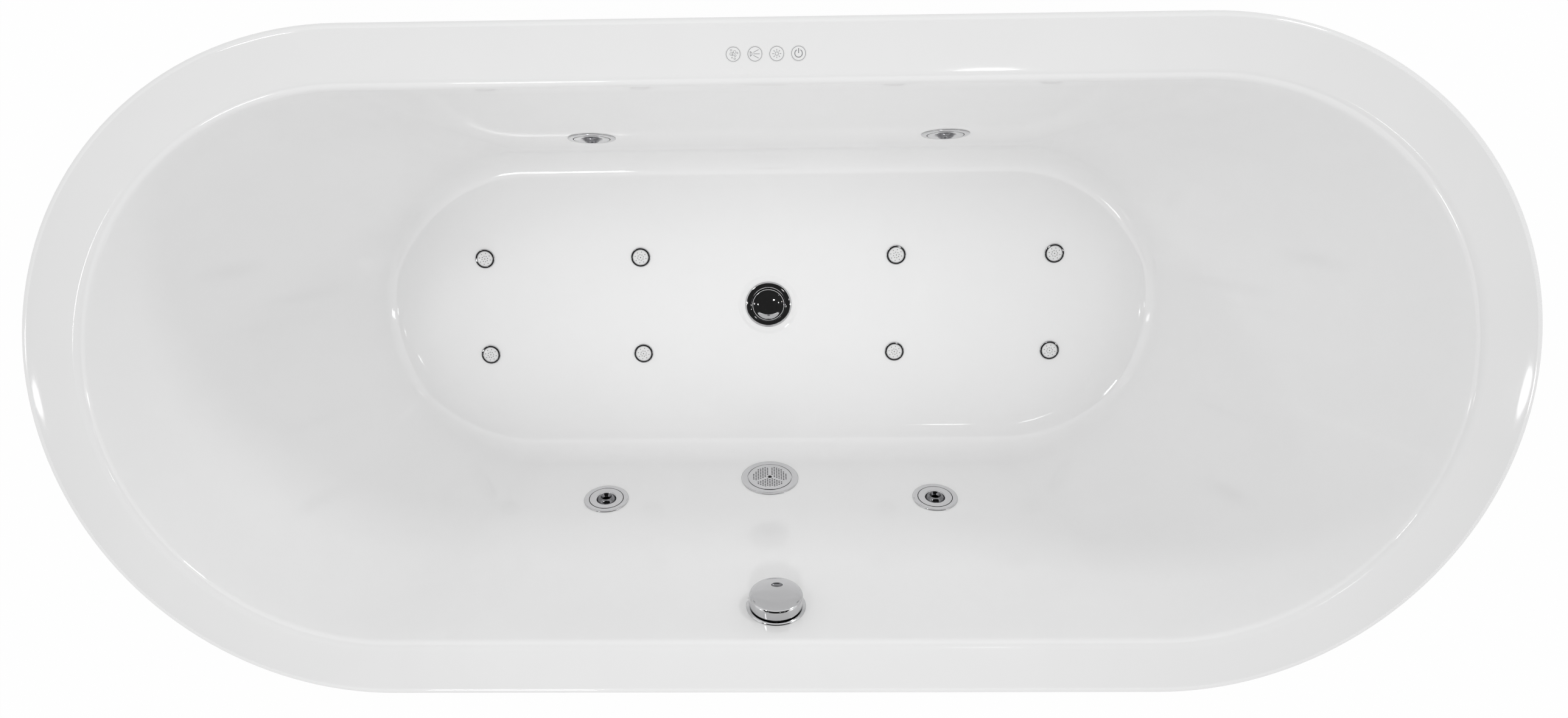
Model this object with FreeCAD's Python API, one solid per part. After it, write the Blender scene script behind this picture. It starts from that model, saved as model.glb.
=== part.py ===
"""Double-ended oval jetted bathtub for building in, with its frame, plumbing, pump and blower.

Millimetres. +X runs along the tub, -Y is the side with the overflow knob, +Z is up.
The origin lies on the floor under the middle of the tub.
"""
import FreeCAD, Part
import math
import os

Vector = FreeCAD.Vector
X_AXIS = Vector(1, 0, 0)
Y_AXIS = Vector(0, 1, 0)
Z_AXIS = Vector(0, 0, 1)

# ---------------------------------------------------------------- driving dimensions
tub_length = 1800.0
tub_width = 830.0
tub_height = 600.0
basin_depth = 430.0
rim_width = 72.0            # from the outer edge to where the line of the basin wall meets the rim plane
rim_skirt = 40.0            # how far the outer lip turns down
rim_edge_radius = 9.0
basin_roll_radius = 14.0
rim_sheet = 6.0             # acrylic with its bonded glass-fibre backing, at the rim
skin = 8.0                  # the same at the basin walls and floor
side_draft = 15.0           # degrees from vertical
end_draft_top = 24.5        # the backrests lie back further towards the floor
end_draft_bottom = 37.5
cove_radius = 60.0
loft_steps = 4
seat_gap = 0.2              # bonded or clamped pieces that sit against each other
running_gap = 0.08          # radial clearance of a turning fit
ball_gap = 0.3

board_thickness = 15.0
board_length = 1040.0
board_width = 350.0

rail_size = 25.0
rail_wall = 2.0
rail_offset = 150.0
cross_positions = (-560.0, -310.0, 310.0, 560.0)
post_offset = 376.0
post_bottom = 46.0
post_plug = 6.0
batten_width = 38.0
batten_thickness = 18.0
batten_overhang = 22.0

pad_radius = 20.0
pad_height = 9.0
stud_radius = 5.0
nut_across_flats = 17.0
nut_height = 7.0
stud_in_post = 22.0

jet_spacing = 484.0
jet_depth = 297.0
jet_flange_radius = 33.0
jet_flange_height = 1.6
jet_seat_drop = 1.8         # the turning ring's seat, below the flange's face
jet_hole_radius = 26.5
jet_tube_radius = 26.0
jet_bore_radius = 22.8
jet_tube_length = 25.0
jet_body_radius = 31.0
jet_body_depth = 64.0
jet_clamp_radius = 35.0
jet_gasket = 1.6
jet_ring_radius = 24.6
jet_groove = 1.0
jet_mouth_radius = 14.3
jet_ball_radius = 14.5
jet_ball_setback = 6.1
jet_ball_front = 11.4
jet_dish_radius = 8.2
jet_dish_depth = 4.5
jet_ball_bore = 5.2
jet_water_spigot = 13.0
jet_water_setback = 45.0
jet_air_spigot = 5.0
jet_air_reach = 13.0
air_riser_reach = 80.0      # from the jet beside it
air_riser_drop = 78.0       # below the rim battens
air_cap_radius = 16.0

suction_depth = 347.0
suction_flange_radius = 43.0
suction_cover_radius = 32.5
suction_flange_height = 2.0
suction_ledge = 0.8         # thickness of the ledge that the cover lies on
suction_hole_radius = 30.0
suction_body_radius = 37.0
suction_body_depth = 56.0
suction_spigot_radius = 22.0
suction_setback = 36.0
suction_hole_size = 2.3
suction_hole_pitch = 4.0

overflow_x = 5.0
overflow_depth = 68.0
overflow_base_radius = 39.0
overflow_knob_radius = 35.0
overflow_knob_depth = 16.0
overflow_knob_gap = 4.5
overflow_hole_radius = 27.0
overflow_spindle_radius = 5.0
overflow_body_radius = 33.0
overflow_pipe_radius = 14.0
overflow_pipe_x = 75.0
overflow_pipe_y = -372.0    # down pipe, outside the water main and the air tube
overflow_run_z = 72.0

waste_recess_radius = 45.0
waste_recess_depth = 2.0
waste_flange_radius = 35.5
waste_flange_height = 3.4
waste_mouth_radius = 25.6
waste_throat_radius = 23.0
waste_throat_wall = 2.5
waste_throat_length = 50.0
waste_clamp_radius = 42.0
waste_outlet_radius = 20.0
waste_outlet_length = 40.0
waste_collar_radius = 26.0
waste_collar_length = 6.0
plug_radius = 24.4
plug_dome = 5.0
plug_lift = 10.0
plug_stem_radius = 4.0
trap_radius = 48.0
trap_top = 98.0
trap_bottom = 26.0

injector_x = (-430.0, -193.0, 193.0, 430.0)
injector_y = (-75.0, 75.0)
injector_ring_radius = 15.2
injector_face_radius = 11.2
injector_ring_height = 2.4
injector_hole_radius = 12.6
injector_tube_radius = 12.2
injector_body_radius = 17.0
injector_seal = 1.5
injector_spigot_radius = 6.0
board_hole_radius = 23.0

main_z = 380.0
main_radius = 19.0
pipe_wall = 3.0
air_line_radius = 8.0
manifold_z = 108.0
manifold_radius = 8.0
header_x = 520.0
header_radius = 13.0
header_y = 190.0

suction_run_z = 92.0
suction_pipe_radius = 25.0
suction_bend = 50.0

pump_outlet_y = -155.0
pump_radius = 60.0
pump_volute_length = 60.0
pump_motor_radius = 56.0
pump_motor_length = 170.0
pump_cowl_length = 52.0
pump_shaft_radius = 7.0
pump_impeller_radius = 46.0
pump_fan_radius = 45.0
pump_fins = 20
terminal_start = 40.0       # from the motor's front face
terminal_length = 78.0
terminal_width = 60.0
terminal_height = 36.0

blower_x = 775.0
blower_radius = 66.0
blower_bottom = 32.0
blower_height = 138.0
blower_hose_radius = 15.0
blower_loop_x = 785.0
blower_loop_top = 470.0
blower_loop_bend = 45.0

shelf_thickness = 3.0
shelf_top = 22.0

touch_x = -4.0
touch_y = 375.0
touch_pitch = 24.2
touch_radius = 8.6
touch_gap = 0.2
touch_count = 4

box_length = 140.0
box_depth = 58.0
box_height = 190.0
box_bottom = 190.0
gland_radius = 10.0
gland_bore = 6.0

# ---------------------------------------------------------------- worked-out places
floor_top = tub_height - basin_depth
board_top = floor_top - skin - seat_gap
rail_top = board_top - board_thickness - seat_gap
rail_bottom = rail_top - rail_size
rim_half_width = tub_width / 2
rim_half_length = tub_length / 2
mouth_half_width = rim_half_width - rim_width
mouth_half_length = rim_half_length - rim_width
end_centre = rim_half_length - rim_half_width
batten_top = tub_height - rim_sheet - seat_gap
batten_bottom = batten_top - batten_thickness
SIDE = (side_draft, side_draft, mouth_half_width)
END = (end_draft_top, end_draft_bottom, mouth_half_length)


# ---------------------------------------------------------------- helpers
def stadium(half_length, half_width, z):
    """Closed outline with straight sides and half-round ends."""
    straight = half_length - half_width
    corners = [Vector(straight, half_width, z), Vector(-straight, half_width, z),
               Vector(-straight, -half_width, z), Vector(straight, -half_width, z)]
    left = Part.Arc(corners[1], Vector(-half_length, 0, z), corners[2]).toShape()
    right = Part.Arc(corners[3], Vector(half_length, 0, z), corners[0]).toShape()
    top = Part.LineSegment(corners[0], corners[1]).toShape()
    bottom = Part.LineSegment(corners[2], corners[3]).toShape()
    return Part.Wire([top, left, bottom, right])


def stadium_block(half_length, half_width, z_low, z_high):
    face = Part.Face(stadium(half_length, half_width, z_low))
    return face.extrude(Vector(0, 0, z_high - z_low))


def rod(start, end, radius):
    """Cylinder from one point to another."""
    path = end.sub(start)
    return Part.makeCylinder(radius, path.Length, start, path)


def pipe(start, end, outer, inner):
    return rod(start, end, outer).cut(rod(start, end, inner))


def turned(profile, origin, axis):
    """Solid of revolution from (radius, height) points along an axis through origin."""
    points = [Vector(radius, 0, height) for radius, height in profile]
    points.append(points[0])
    face = Part.Face(Part.makePolygon(points))
    solid = face.revolve(Vector(0, 0, 0), Z_AXIS, 360)
    solid.Placement = FreeCAD.Placement(origin, FreeCAD.Rotation(Z_AXIS, axis))
    return solid


def ring(origin, axis, outer, inner, low, high):
    """Flat ring between two heights along an axis."""
    return turned([(inner, low), (outer, low), (outer, high), (inner, high)], origin, axis)


def bent_path(points, bend):
    """Straight runs through the points, joined by tangent arcs of the given radius."""
    edges = []
    start = points[0]
    for before, corner, after in zip(points, points[1:], points[2:]):
        into = corner.sub(before).normalize()
        out = after.sub(corner).normalize()
        turn = into.getAngle(out)
        setback = bend * math.tan(turn / 2)
        arc_start = corner.sub(into * setback)
        arc_end = corner.add(out * setback)
        inward = out.sub(into).normalize()
        middle = corner.add(inward * (bend / math.cos(turn / 2) - bend))
        edges.append(Part.LineSegment(start, arc_start).toShape())
        edges.append(Part.Arc(arc_start, middle, arc_end).toShape())
        start = arc_end
    edges.append(Part.LineSegment(start, points[-1]).toShape())
    return Part.Wire(edges)


def swept(path, radius):
    """Round bar along a path of straight runs and arcs."""
    first = path.OrderedEdges[0]
    start = first.valueAt(first.FirstParameter)
    heading = first.tangentAt(first.FirstParameter)
    circle = Part.Wire([Part.Circle(start, heading, radius).toShape()])
    return path.makePipeShell([circle], True, False)


def bent_pipe(points, bend, outer, inner):
    path = bent_path(points, bend)
    return swept(path, outer).cut(swept(path, inner))


def hexagon(centre, across_flats, z_low, height):
    radius = across_flats / math.sqrt(3)
    corners = []
    for side in range(7):
        angle = math.radians(60 * side)
        corners.append(Vector(centre.x + radius * math.cos(angle), centre.y + radius * math.sin(angle), z_low))
    return Part.Face(Part.makePolygon(corners)).extrude(Vector(0, 0, height))


def square_tube(x_range, y_range, z_range, axis):
    """Hollow square section along one axis ('x', 'y' or 'z'), open at both ends."""
    low = [x_range[0], y_range[0], z_range[0]]
    high = [x_range[1], y_range[1], z_range[1]]
    outer = Part.makeBox(high[0] - low[0], high[1] - low[1], high[2] - low[2], Vector(*low))
    for index, name in enumerate("xyz"):
        if name != axis:
            low[index] += rail_wall
            high[index] -= rail_wall
    hollow = Part.makeBox(high[0] - low[0], high[1] - low[1], high[2] - low[2], Vector(*low))
    return outer.cut(hollow)


def group(solids):
    return Part.makeCompound(solids)


# ---------------------------------------------------------------- basin shape
def draft_slope(profile, depth):
    """Sideways run per unit of depth; it changes evenly from the rim plane to the floor."""
    top = math.tan(math.radians(profile[0]))
    bottom = math.tan(math.radians(profile[1]))
    return top + (bottom - top) * depth / basin_depth


def wall_half(profile, depth, offset):
    """Half-size of the basin at a depth; offset moves the surface outwards, square to itself."""
    mean_slope = (draft_slope(profile, 0) + draft_slope(profile, depth)) / 2
    slant = math.atan(draft_slope(profile, depth))
    return profile[2] - mean_slope * depth + offset / math.cos(slant)


def basin_block(offset):
    """Solid inside the basin surface moved outwards by offset, with its coved floor edge."""
    sections = []
    for step in range(loft_steps + 1):
        depth = (basin_depth + offset) * step / loft_steps
        half_length = wall_half(END, depth, offset)
        half_width = wall_half(SIDE, depth, offset)
        sections.append(stadium(half_length, half_width, tub_height - depth))
    block = Part.makeLoft(sections, True, False, False, 3)
    floor_level = floor_top - offset
    floor_edges = [edge for edge in block.Edges if edge.BoundBox.ZMax < floor_level + 1]
    return block.makeFillet(cove_radius + offset, floor_edges)


def wall_frame(x, depth, side):
    """Point on the side wall's inner face and the direction square out of it into the basin."""
    draft = math.atan(draft_slope(SIDE, depth))
    point = Vector(x, side * wall_half(SIDE, depth, 0), tub_height - depth)
    normal = Vector(0, -side * math.cos(draft), math.sin(draft))
    return point, normal


def jet_places():
    """The four wall jets: two on each long side."""
    half = jet_spacing / 2
    return [wall_frame(x, jet_depth, side) for side in (-1, 1) for x in (-half, half)]


def injector_places():
    return [Vector(x, y, floor_top) for y in injector_y for x in injector_x]


def touch_places():
    first = touch_x - touch_pitch * (touch_count - 1) / 2
    return [Vector(first + touch_pitch * index, touch_y, tub_height) for index in range(touch_count)]


suction_point, suction_normal = wall_frame(0, suction_depth, -1)
overflow_point, overflow_normal = wall_frame(overflow_x, overflow_depth, -1)


def pierced(solid):
    """Cut the holes for every fitting that goes through the skin."""
    reach = 40.0
    for point, normal in jet_places():
        solid = solid.cut(rod(point + normal * reach, point - normal * reach, jet_hole_radius))
    solid = solid.cut(rod(suction_point + suction_normal * reach,
                          suction_point - suction_normal * reach, suction_hole_radius))
    solid = solid.cut(rod(overflow_point + overflow_normal * reach,
                          overflow_point - overflow_normal * reach, overflow_hole_radius))
    drill_low = floor_top - 2 * skin
    drill_high = floor_top + skin
    for place in injector_places():
        solid = solid.cut(rod(Vector(place.x, place.y, drill_low), Vector(place.x, place.y, drill_high),
                              injector_hole_radius))
    waste_hole = waste_throat_radius + 0.5
    return solid.cut(rod(Vector(0, 0, drill_low), Vector(0, 0, drill_high), waste_hole))


# ---------------------------------------------------------------- tub
def level_edges(solid, z, half_length, half_width):
    """Edges that lie flat at one height inside a given outline."""
    found = []
    for edge in solid.Edges:
        box = edge.BoundBox
        flat = abs(box.ZMin - z) < 0.05 and abs(box.ZMax - z) < 0.05
        if flat and max(box.XMax, -box.XMin) < half_length and max(box.YMax, -box.YMin) < half_width:
            if max(box.XMax, -box.XMin) > mouth_half_width - rim_width:
                found.append(edge)
    return found


def tub_shell():
    """Vacuum-formed acrylic: flat rim with a turned-down lip, rolled edge and deep basin."""
    rim = stadium_block(rim_half_length, rim_half_width, tub_height - rim_skirt, tub_height)
    top_edges = [edge for edge in rim.Edges if edge.BoundBox.ZMin > tub_height - 0.01]
    rim = rim.makeFillet(rim_edge_radius, top_edges)
    under = stadium_block(rim_half_length - rim_sheet, rim_half_width - rim_sheet,
                          tub_height - rim_skirt, tub_height - rim_sheet)
    solid = rim.cut(under).fuse(basin_block(skin)).removeSplitter()
    inside = (mouth_half_length + 2 * skin, mouth_half_width + 2 * skin)
    under_edges = level_edges(solid, tub_height - rim_sheet, *inside)
    solid = solid.makeFillet(basin_roll_radius - rim_sheet, under_edges)
    recess_floor = floor_top - waste_recess_depth
    boss = Part.makeCylinder(waste_recess_radius + skin, skin + waste_recess_depth,
                             Vector(0, 0, recess_floor - skin))
    solid = solid.fuse(boss).removeSplitter().cut(basin_block(0))
    solid = solid.makeFillet(basin_roll_radius, level_edges(solid, tub_height, *inside))
    solid = solid.cut(Part.makeCone(waste_recess_radius - waste_recess_depth, waste_recess_radius,
                                    waste_recess_depth, Vector(0, 0, recess_floor)))
    for place in touch_places():
        hole = Part.makeCylinder(touch_radius + touch_gap, 2 * rim_sheet, place - Z_AXIS * 1.5 * rim_sheet)
        solid = solid.cut(hole)
    return pierced(solid)


def base_board():
    """Moisture-proof board that carries the basin floor on the frame."""
    solid = stadium_block(board_length / 2, board_width / 2, board_top - board_thickness, board_top)
    for place in injector_places():
        hole = Part.makeCylinder(board_hole_radius, 3 * board_thickness,
                                 Vector(place.x, place.y, board_top - 2 * board_thickness))
        solid = solid.cut(hole)
    waste_hole = waste_recess_radius + 2 * skin
    return solid.cut(Part.makeCylinder(waste_hole, 3 * board_thickness,
                                       Vector(0, 0, board_top - 2 * board_thickness)))


# ---------------------------------------------------------------- frame
def frame_rails():
    """Two long square tubes under the base board."""
    half_length = max(cross_positions) + rail_size / 2
    rails = []
    for side in (-1, 1):
        y = side * rail_offset
        rails.append(square_tube((-half_length, half_length), (y - rail_size / 2, y + rail_size / 2),
                                 (rail_bottom, rail_top), "x"))
    return group(rails)


def frame_cross_members():
    """Short cross tubes between the rails and out to the posts, welded end on."""
    pieces = []
    inner = rail_offset - rail_size / 2
    outer = rail_offset + rail_size / 2
    post_face = post_offset - rail_size / 2
    for x in cross_positions:
        x_range = (x - rail_size / 2, x + rail_size / 2)
        pieces.append(square_tube(x_range, (-inner, inner), (rail_bottom, rail_top), "y"))
        pieces.append(square_tube(x_range, (outer, post_face), (rail_bottom, rail_top), "y"))
        pieces.append(square_tube(x_range, (-post_face, -outer), (rail_bottom, rail_top), "y"))
    return group(pieces)


def post_places():
    return [Vector(x, side * post_offset, 0) for side in (-1, 1) for x in cross_positions]


def frame_posts():
    """Posts from the levelling feet up to the rim battens, closed below by a threaded plug."""
    posts = []
    half = rail_size / 2
    for place in post_places():
        post = square_tube((place.x - half, place.x + half), (place.y - half, place.y + half),
                           (post_bottom, batten_bottom), "z")
        plug = Part.makeBox(rail_size, rail_size, post_plug, Vector(place.x - half, place.y - half, post_bottom))
        hole = Part.makeCylinder(stud_radius + seat_gap, 3 * post_plug,
                                 Vector(place.x, place.y, post_bottom - post_plug))
        posts.append(post.fuse(plug).cut(hole).removeSplitter())
    return group(posts)


def touch_box_half_length():
    return touch_pitch * (touch_count - 1) / 2 + 2 * touch_radius


def rim_battens():
    """Timber battens under the straight sides of the rim; the far one leaves room for the touch panel."""
    half_length = max(cross_positions) + batten_overhang
    y_near = post_offset - batten_width / 2
    near = Part.makeBox(2 * half_length, batten_width, batten_thickness,
                        Vector(-half_length, -y_near - batten_width, batten_bottom))
    gap = touch_box_half_length() + 6
    left = Part.makeBox(half_length + touch_x - gap, batten_width, batten_thickness,
                        Vector(-half_length, y_near, batten_bottom))
    right = Part.makeBox(half_length - touch_x - gap, batten_width, batten_thickness,
                         Vector(touch_x + gap, y_near, batten_bottom))
    return group([near, left, right])


def shelf_foot_places():
    """Two feet under the outer end of each equipment shelf."""
    reach = end_centre + 288.0
    return [Vector(side * reach, y, 0) for side in (-1, 1) for y in (-185.0, 185.0)]


def foot_pads():
    """Rubber-soled levelling feet."""
    pads = []
    for place in post_places() + shelf_foot_places():
        pads.append(turned([(0, 0), (pad_radius, 0), (pad_radius, 0.55 * pad_height),
                            (0.5 * pad_radius, pad_height), (0, pad_height)], place, Z_AXIS))
    return group(pads)


def foot_studs():
    studs = []
    for place in post_places():
        length = post_bottom + stud_in_post - pad_height
        studs.append(Part.makeCylinder(stud_radius, length, place + Z_AXIS * pad_height))
    for place in shelf_foot_places():
        length = shelf_top + nut_height + 4 - pad_height
        studs.append(Part.makeCylinder(stud_radius, length, place + Z_AXIS * pad_height))
    return group(studs)


def foot_nuts():
    """Lock nuts under each post and on each shelf."""
    nuts = []
    for place in post_places():
        nuts.append((place, post_bottom - seat_gap - nut_height))
    for place in shelf_foot_places():
        nuts.append((place, shelf_top + seat_gap))
    solids = []
    for place, z_low in nuts:
        nut = hexagon(place, nut_across_flats, z_low, nut_height)
        bore = Part.makeCylinder(stud_radius + seat_gap / 2, 3 * nut_height,
                                 Vector(place.x, place.y, z_low - nut_height))
        solids.append(nut.cut(bore))
    return group(solids)


def equipment_shelf(side):
    """Pressed plate beyond the end of the basin, hung on two straps from the end cross tube."""
    cross_face = max(cross_positions) + rail_size / 2 + seat_gap
    plate = stadium_block(rim_half_length - 40, rim_half_width - 40, shelf_top - shelf_thickness, shelf_top)
    keep = Part.makeBox(rim_half_length, 2 * 215.0, shelf_top, Vector(end_centre + 205.0, -215.0, 0))
    solid = plate.common(keep)
    strap_width = 30.0
    for y in (-100.0, 100.0):
        arm = Part.makeBox(end_centre + 215.0 - cross_face, strap_width, shelf_thickness,
                           Vector(cross_face, y - strap_width / 2, shelf_top - shelf_thickness))
        tab = Part.makeBox(shelf_thickness, strap_width, rail_top - shelf_top + shelf_thickness,
                           Vector(cross_face, y - strap_width / 2, shelf_top - shelf_thickness))
        solid = solid.fuse(arm).fuse(tab)
    solid = solid.removeSplitter()
    for place in shelf_foot_places():
        if place.x > 0:
            hole = Part.makeCylinder(stud_radius + seat_gap, 2 * shelf_top, place)
            solid = solid.cut(hole)
    if side < 0:
        solid = solid.mirror(Vector(0, 0, 0), X_AXIS)
    return solid


# ---------------------------------------------------------------- wall jets
def jet_wall_fitting(point, normal):
    """Flanged sleeve screwed through the wall from inside the basin."""
    lift = seat_gap
    face = lift + jet_flange_height
    groove = jet_ring_radius + jet_groove
    profile = [(jet_bore_radius, -jet_tube_length), (jet_tube_radius, -jet_tube_length),
               (jet_tube_radius, lift), (jet_flange_radius - 0.3, lift), (jet_flange_radius, lift + 0.4),
               (jet_flange_radius - 0.8, face - 0.4), (jet_flange_radius - 2.4, face), (groove, face),
               (groove, face - jet_seat_drop), (jet_bore_radius, face - jet_seat_drop)]
    return turned(profile, point, normal)


def jet_ring(point, normal):
    """Face ring that turns to set the flow; its seat holds the eyeball."""
    face = seat_gap + jet_flange_height + 0.2
    under = seat_gap + jet_flange_height - jet_seat_drop + 0.1
    sleeve = jet_bore_radius - running_gap
    back = -jet_tube_length + 4
    profile = [(sleeve, back), (sleeve, under), (jet_ring_radius, under), (jet_ring_radius, face - 0.6),
               (jet_ring_radius - 0.6, face), (jet_mouth_radius + 1.4, face), (jet_mouth_radius, face - 1.4),
               (jet_mouth_radius - 1.0, face - 3.2), (jet_mouth_radius - 1.0, back)]
    solid = turned(profile, point, normal)
    seat = Part.makeSphere(jet_ball_radius + ball_gap, point - normal * jet_ball_setback)
    return solid.cut(seat)


def jet_nozzle(point, normal):
    """Eyeball with a through bore that opens into a dished nose."""
    centre = point - normal * jet_ball_setback
    ball = Part.makeSphere(jet_ball_radius, centre)
    reach = 2 * jet_ball_radius
    ball = ball.cut(rod(centre + normal * jet_ball_front, centre + normal * reach, reach))
    ball = ball.cut(rod(centre - normal * jet_ball_front, centre - normal * reach, reach))
    ball = ball.cut(rod(centre - normal * reach, centre + normal * reach, jet_ball_bore))
    dish = Part.makeCone(jet_ball_bore, jet_dish_radius, jet_dish_depth,
                         centre + normal * (jet_ball_front - jet_dish_depth), normal)
    return ball.cut(dish)


def jet_gasket_ring(point, normal):
    start = skin + seat_gap
    return ring(point, normal, jet_clamp_radius, jet_hole_radius, -start - jet_gasket, -start)


def jet_back_start():
    return skin + seat_gap + jet_gasket + seat_gap


def up_along_wall(normal):
    """Direction up the wall, square to its normal."""
    return Vector(0, -normal.y * normal.z / abs(normal.y), abs(normal.y))


def jet_body(point, normal):
    """Moulded housing behind the wall with a water spigot up the wall and an air spigot behind."""
    start = jet_back_start()
    inner = jet_tube_radius + seat_gap
    profile = [(inner, -start), (jet_clamp_radius, -start), (jet_clamp_radius, -start - 4),
               (jet_body_radius, -start - 5), (jet_body_radius, -jet_body_depth + 3),
               (jet_body_radius - 3, -jet_body_depth), (0, -jet_body_depth), (0, -jet_body_depth + 4),
               (inner, -jet_body_depth + 4)]
    solid = turned(profile, point, normal)
    up = up_along_wall(normal)
    centre = point - normal * jet_water_setback
    spigot_end = jet_body_radius + 26
    solid = solid.fuse(rod(centre + up * (inner - 2), centre + up * spigot_end, jet_water_spigot))
    back = point - normal * jet_body_depth
    solid = solid.fuse(rod(back + normal * 2, back - normal * jet_air_reach, jet_air_spigot))
    solid = solid.cut(rod(point - normal * start, point - normal * (jet_body_depth - 4), inner))
    solid = solid.cut(rod(centre, centre + up * (spigot_end + 1), jet_water_spigot - 2.5))
    air_end = back - normal * (jet_air_reach + 1)
    return solid.cut(rod(back + normal * 6, air_end, jet_air_spigot - 2))


# ---------------------------------------------------------------- pipework for the jets
def main_offset():
    """Half-width of the water main: where the jets' branches reach the main's height."""
    point, normal = jet_places()[-1]
    centre = point - normal * jet_water_setback
    up = up_along_wall(normal)
    return (centre + up * ((main_z - centre.z) / up.z)).y


def u_path(offset, reach, z):
    """Path from one side round the -X end to the other side."""
    tip = Vector(-end_centre - offset, 0, z)
    left = Part.Arc(Vector(-end_centre, offset, z), tip, Vector(-end_centre, -offset, z)).toShape()
    far = Part.LineSegment(Vector(reach, offset, z), Vector(-end_centre, offset, z)).toShape()
    near = Part.LineSegment(Vector(-end_centre, -offset, z), Vector(reach, -offset, z)).toShape()
    return Part.Wire([far, left, near])


def pump_x():
    """The pump stands where its outlet lies right under the water main."""
    offset = main_offset()
    return -end_centre - math.sqrt(offset ** 2 - pump_outlet_y ** 2)


def water_main():
    """Pressure pipe from the pump round to the four jets, with a branch down to each."""
    offset = main_offset()
    reach = jet_spacing / 2 + 45
    path = u_path(offset, reach, main_z)
    sleeve = jet_water_spigot + 0.15
    solid = swept(path, main_radius)
    pump_top = Vector(pump_x(), pump_outlet_y, main_z)
    pump_end = Vector(pump_x(), pump_outlet_y, suction_run_z + pump_radius + 22)
    branches = [(pump_top, pump_end, main_radius)]
    for point, normal in jet_places():
        up = up_along_wall(normal)
        foot = point - normal * jet_water_setback + up * (jet_body_radius + 6)
        top = Vector(point.x, math.copysign(offset, point.y), main_z)
        branches.append((top, foot, sleeve + pipe_wall))
    for top, foot, radius in branches:
        solid = solid.fuse(rod(top, foot, radius))
    solid = solid.removeSplitter()
    cap = 4.0
    solid = solid.cut(swept(u_path(offset, reach - cap, main_z), main_radius - pipe_wall))
    for top, foot, radius in branches:
        down = (foot - top).normalize()
        solid = solid.cut(rod(top, foot + down, radius - pipe_wall))
    return solid


def air_line_place(point, normal):
    return point - normal * (jet_body_depth + jet_air_reach + 8)


def air_riser(side):
    """Top end of the air tube on one side, clear of the basin wall."""
    point, normal = wall_frame(jet_spacing / 2, jet_depth, side)
    line = air_line_place(point, normal)
    return Vector(line.x + air_riser_reach, line.y, batten_bottom - air_riser_drop)


def jet_air_lines():
    """Thin tube along each side that lets air into the jets, with its intake under the rim."""
    lines = []
    reach = jet_spacing / 2 + 12
    sleeve = jet_air_spigot + 0.15
    for side in (-1, 1):
        places = [frame for frame in jet_places() if frame[0].y * side > 0]
        centre = air_line_place(*places[0])
        riser = air_riser(side)
        points = [Vector(-reach, centre.y, centre.z), Vector(riser.x, centre.y, centre.z), riser]
        solid = swept(bent_path(points, 30), air_line_radius)
        for point, normal in places:
            start = air_line_place(point, normal)
            end = point - normal * (jet_body_depth + 1)
            solid = solid.fuse(rod(start, end, air_line_radius))
        solid = solid.removeSplitter()
        for point, normal in places:
            start = air_line_place(point, normal)
            end = point - normal * jet_body_depth
            solid = solid.cut(rod(start, end, sleeve))
        points[0] = Vector(-reach + 3, centre.y, centre.z)
        points[-1] = riser + Z_AXIS
        solid = solid.cut(swept(bent_path(points, 30), air_line_radius - 2))
        lines.append(solid)
    return group(lines)


def air_intakes():
    """Filter caps on top of the two air tubes."""
    caps = []
    for side in (-1, 1):
        top = air_riser(side)
        inner = air_line_radius + seat_gap
        outer = air_cap_radius
        profile = [(inner, -18), (outer - 2, -18), (outer, -12), (outer, 14), (outer - 4, 20), (0, 20),
                   (0, 16), (outer - 5, 16), (outer - 3, 12), (outer - 3, seat_gap), (inner, seat_gap)]
        cap = turned(profile, top, Z_AXIS)
        for turn in range(6):
            slot = Part.makeBox(8, 3, 7, top + Vector(outer - 6, -1.5, 3))
            slot.rotate(top, Z_AXIS, 60 * turn)
            cap = cap.cut(slot)
        caps.append(cap)
    return group(caps)


# ---------------------------------------------------------------- suction fitting
def suction_fitting():
    """Flanged sleeve of the suction; the cover lies in it behind a groove."""
    lift = seat_gap
    face = lift + suction_flange_height
    groove = suction_cover_radius + 1.0
    tube = suction_hole_radius - 0.5
    bore = tube - 3
    profile = [(bore, -26), (tube, -26), (tube, lift), (suction_flange_radius - 0.6, lift),
               (suction_flange_radius, lift + 0.6), (suction_flange_radius - 1.2, face - 0.5),
               (suction_flange_radius - 3, face), (groove, face), (groove, lift + suction_ledge),
               (bore, lift + suction_ledge)]
    solid = turned(profile, suction_point, suction_normal)
    bar = Part.makeBox(2 * bore + 2, 8, 4, Vector(-bore - 1, -4, -10))
    bar.Placement = suction_placement()
    solid = solid.fuse(bar).removeSplitter()
    return solid.cut(rod(suction_point, suction_point - suction_normal * 20, 1.8))


def suction_placement():
    """Placement with X along the tub and Z square out of the wall."""
    up = up_along_wall(suction_normal)
    return FreeCAD.Placement(suction_point, FreeCAD.Rotation(X_AXIS, up, suction_normal, "ZXY"))


def suction_hole_pattern():
    """Columns of small holes in three sectors that leave three plain spokes and a plain middle."""
    places = []
    rows = int(suction_cover_radius / suction_hole_pitch) + 1
    row_height = suction_hole_pitch * math.sqrt(3) / 2
    for row in range(-rows, rows + 1):
        for column in range(-rows, rows + 1):
            x = row * row_height
            y = (column + 0.5 * (row % 2)) * suction_hole_pitch
            distance = math.hypot(x, y)
            if distance < 6.5 or distance > suction_cover_radius - 6.5:
                continue
            spoke_distance = min(abs(x * math.cos(math.radians(spoke)) + y * math.sin(math.radians(spoke)))
                                 for spoke in (60, 180, 300)
                                 if -x * math.sin(math.radians(spoke)) + y * math.cos(math.radians(spoke)) > 0)
            if spoke_distance < 0.5 * suction_hole_pitch:
                continue
            places.append((x, y))
    return places


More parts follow.
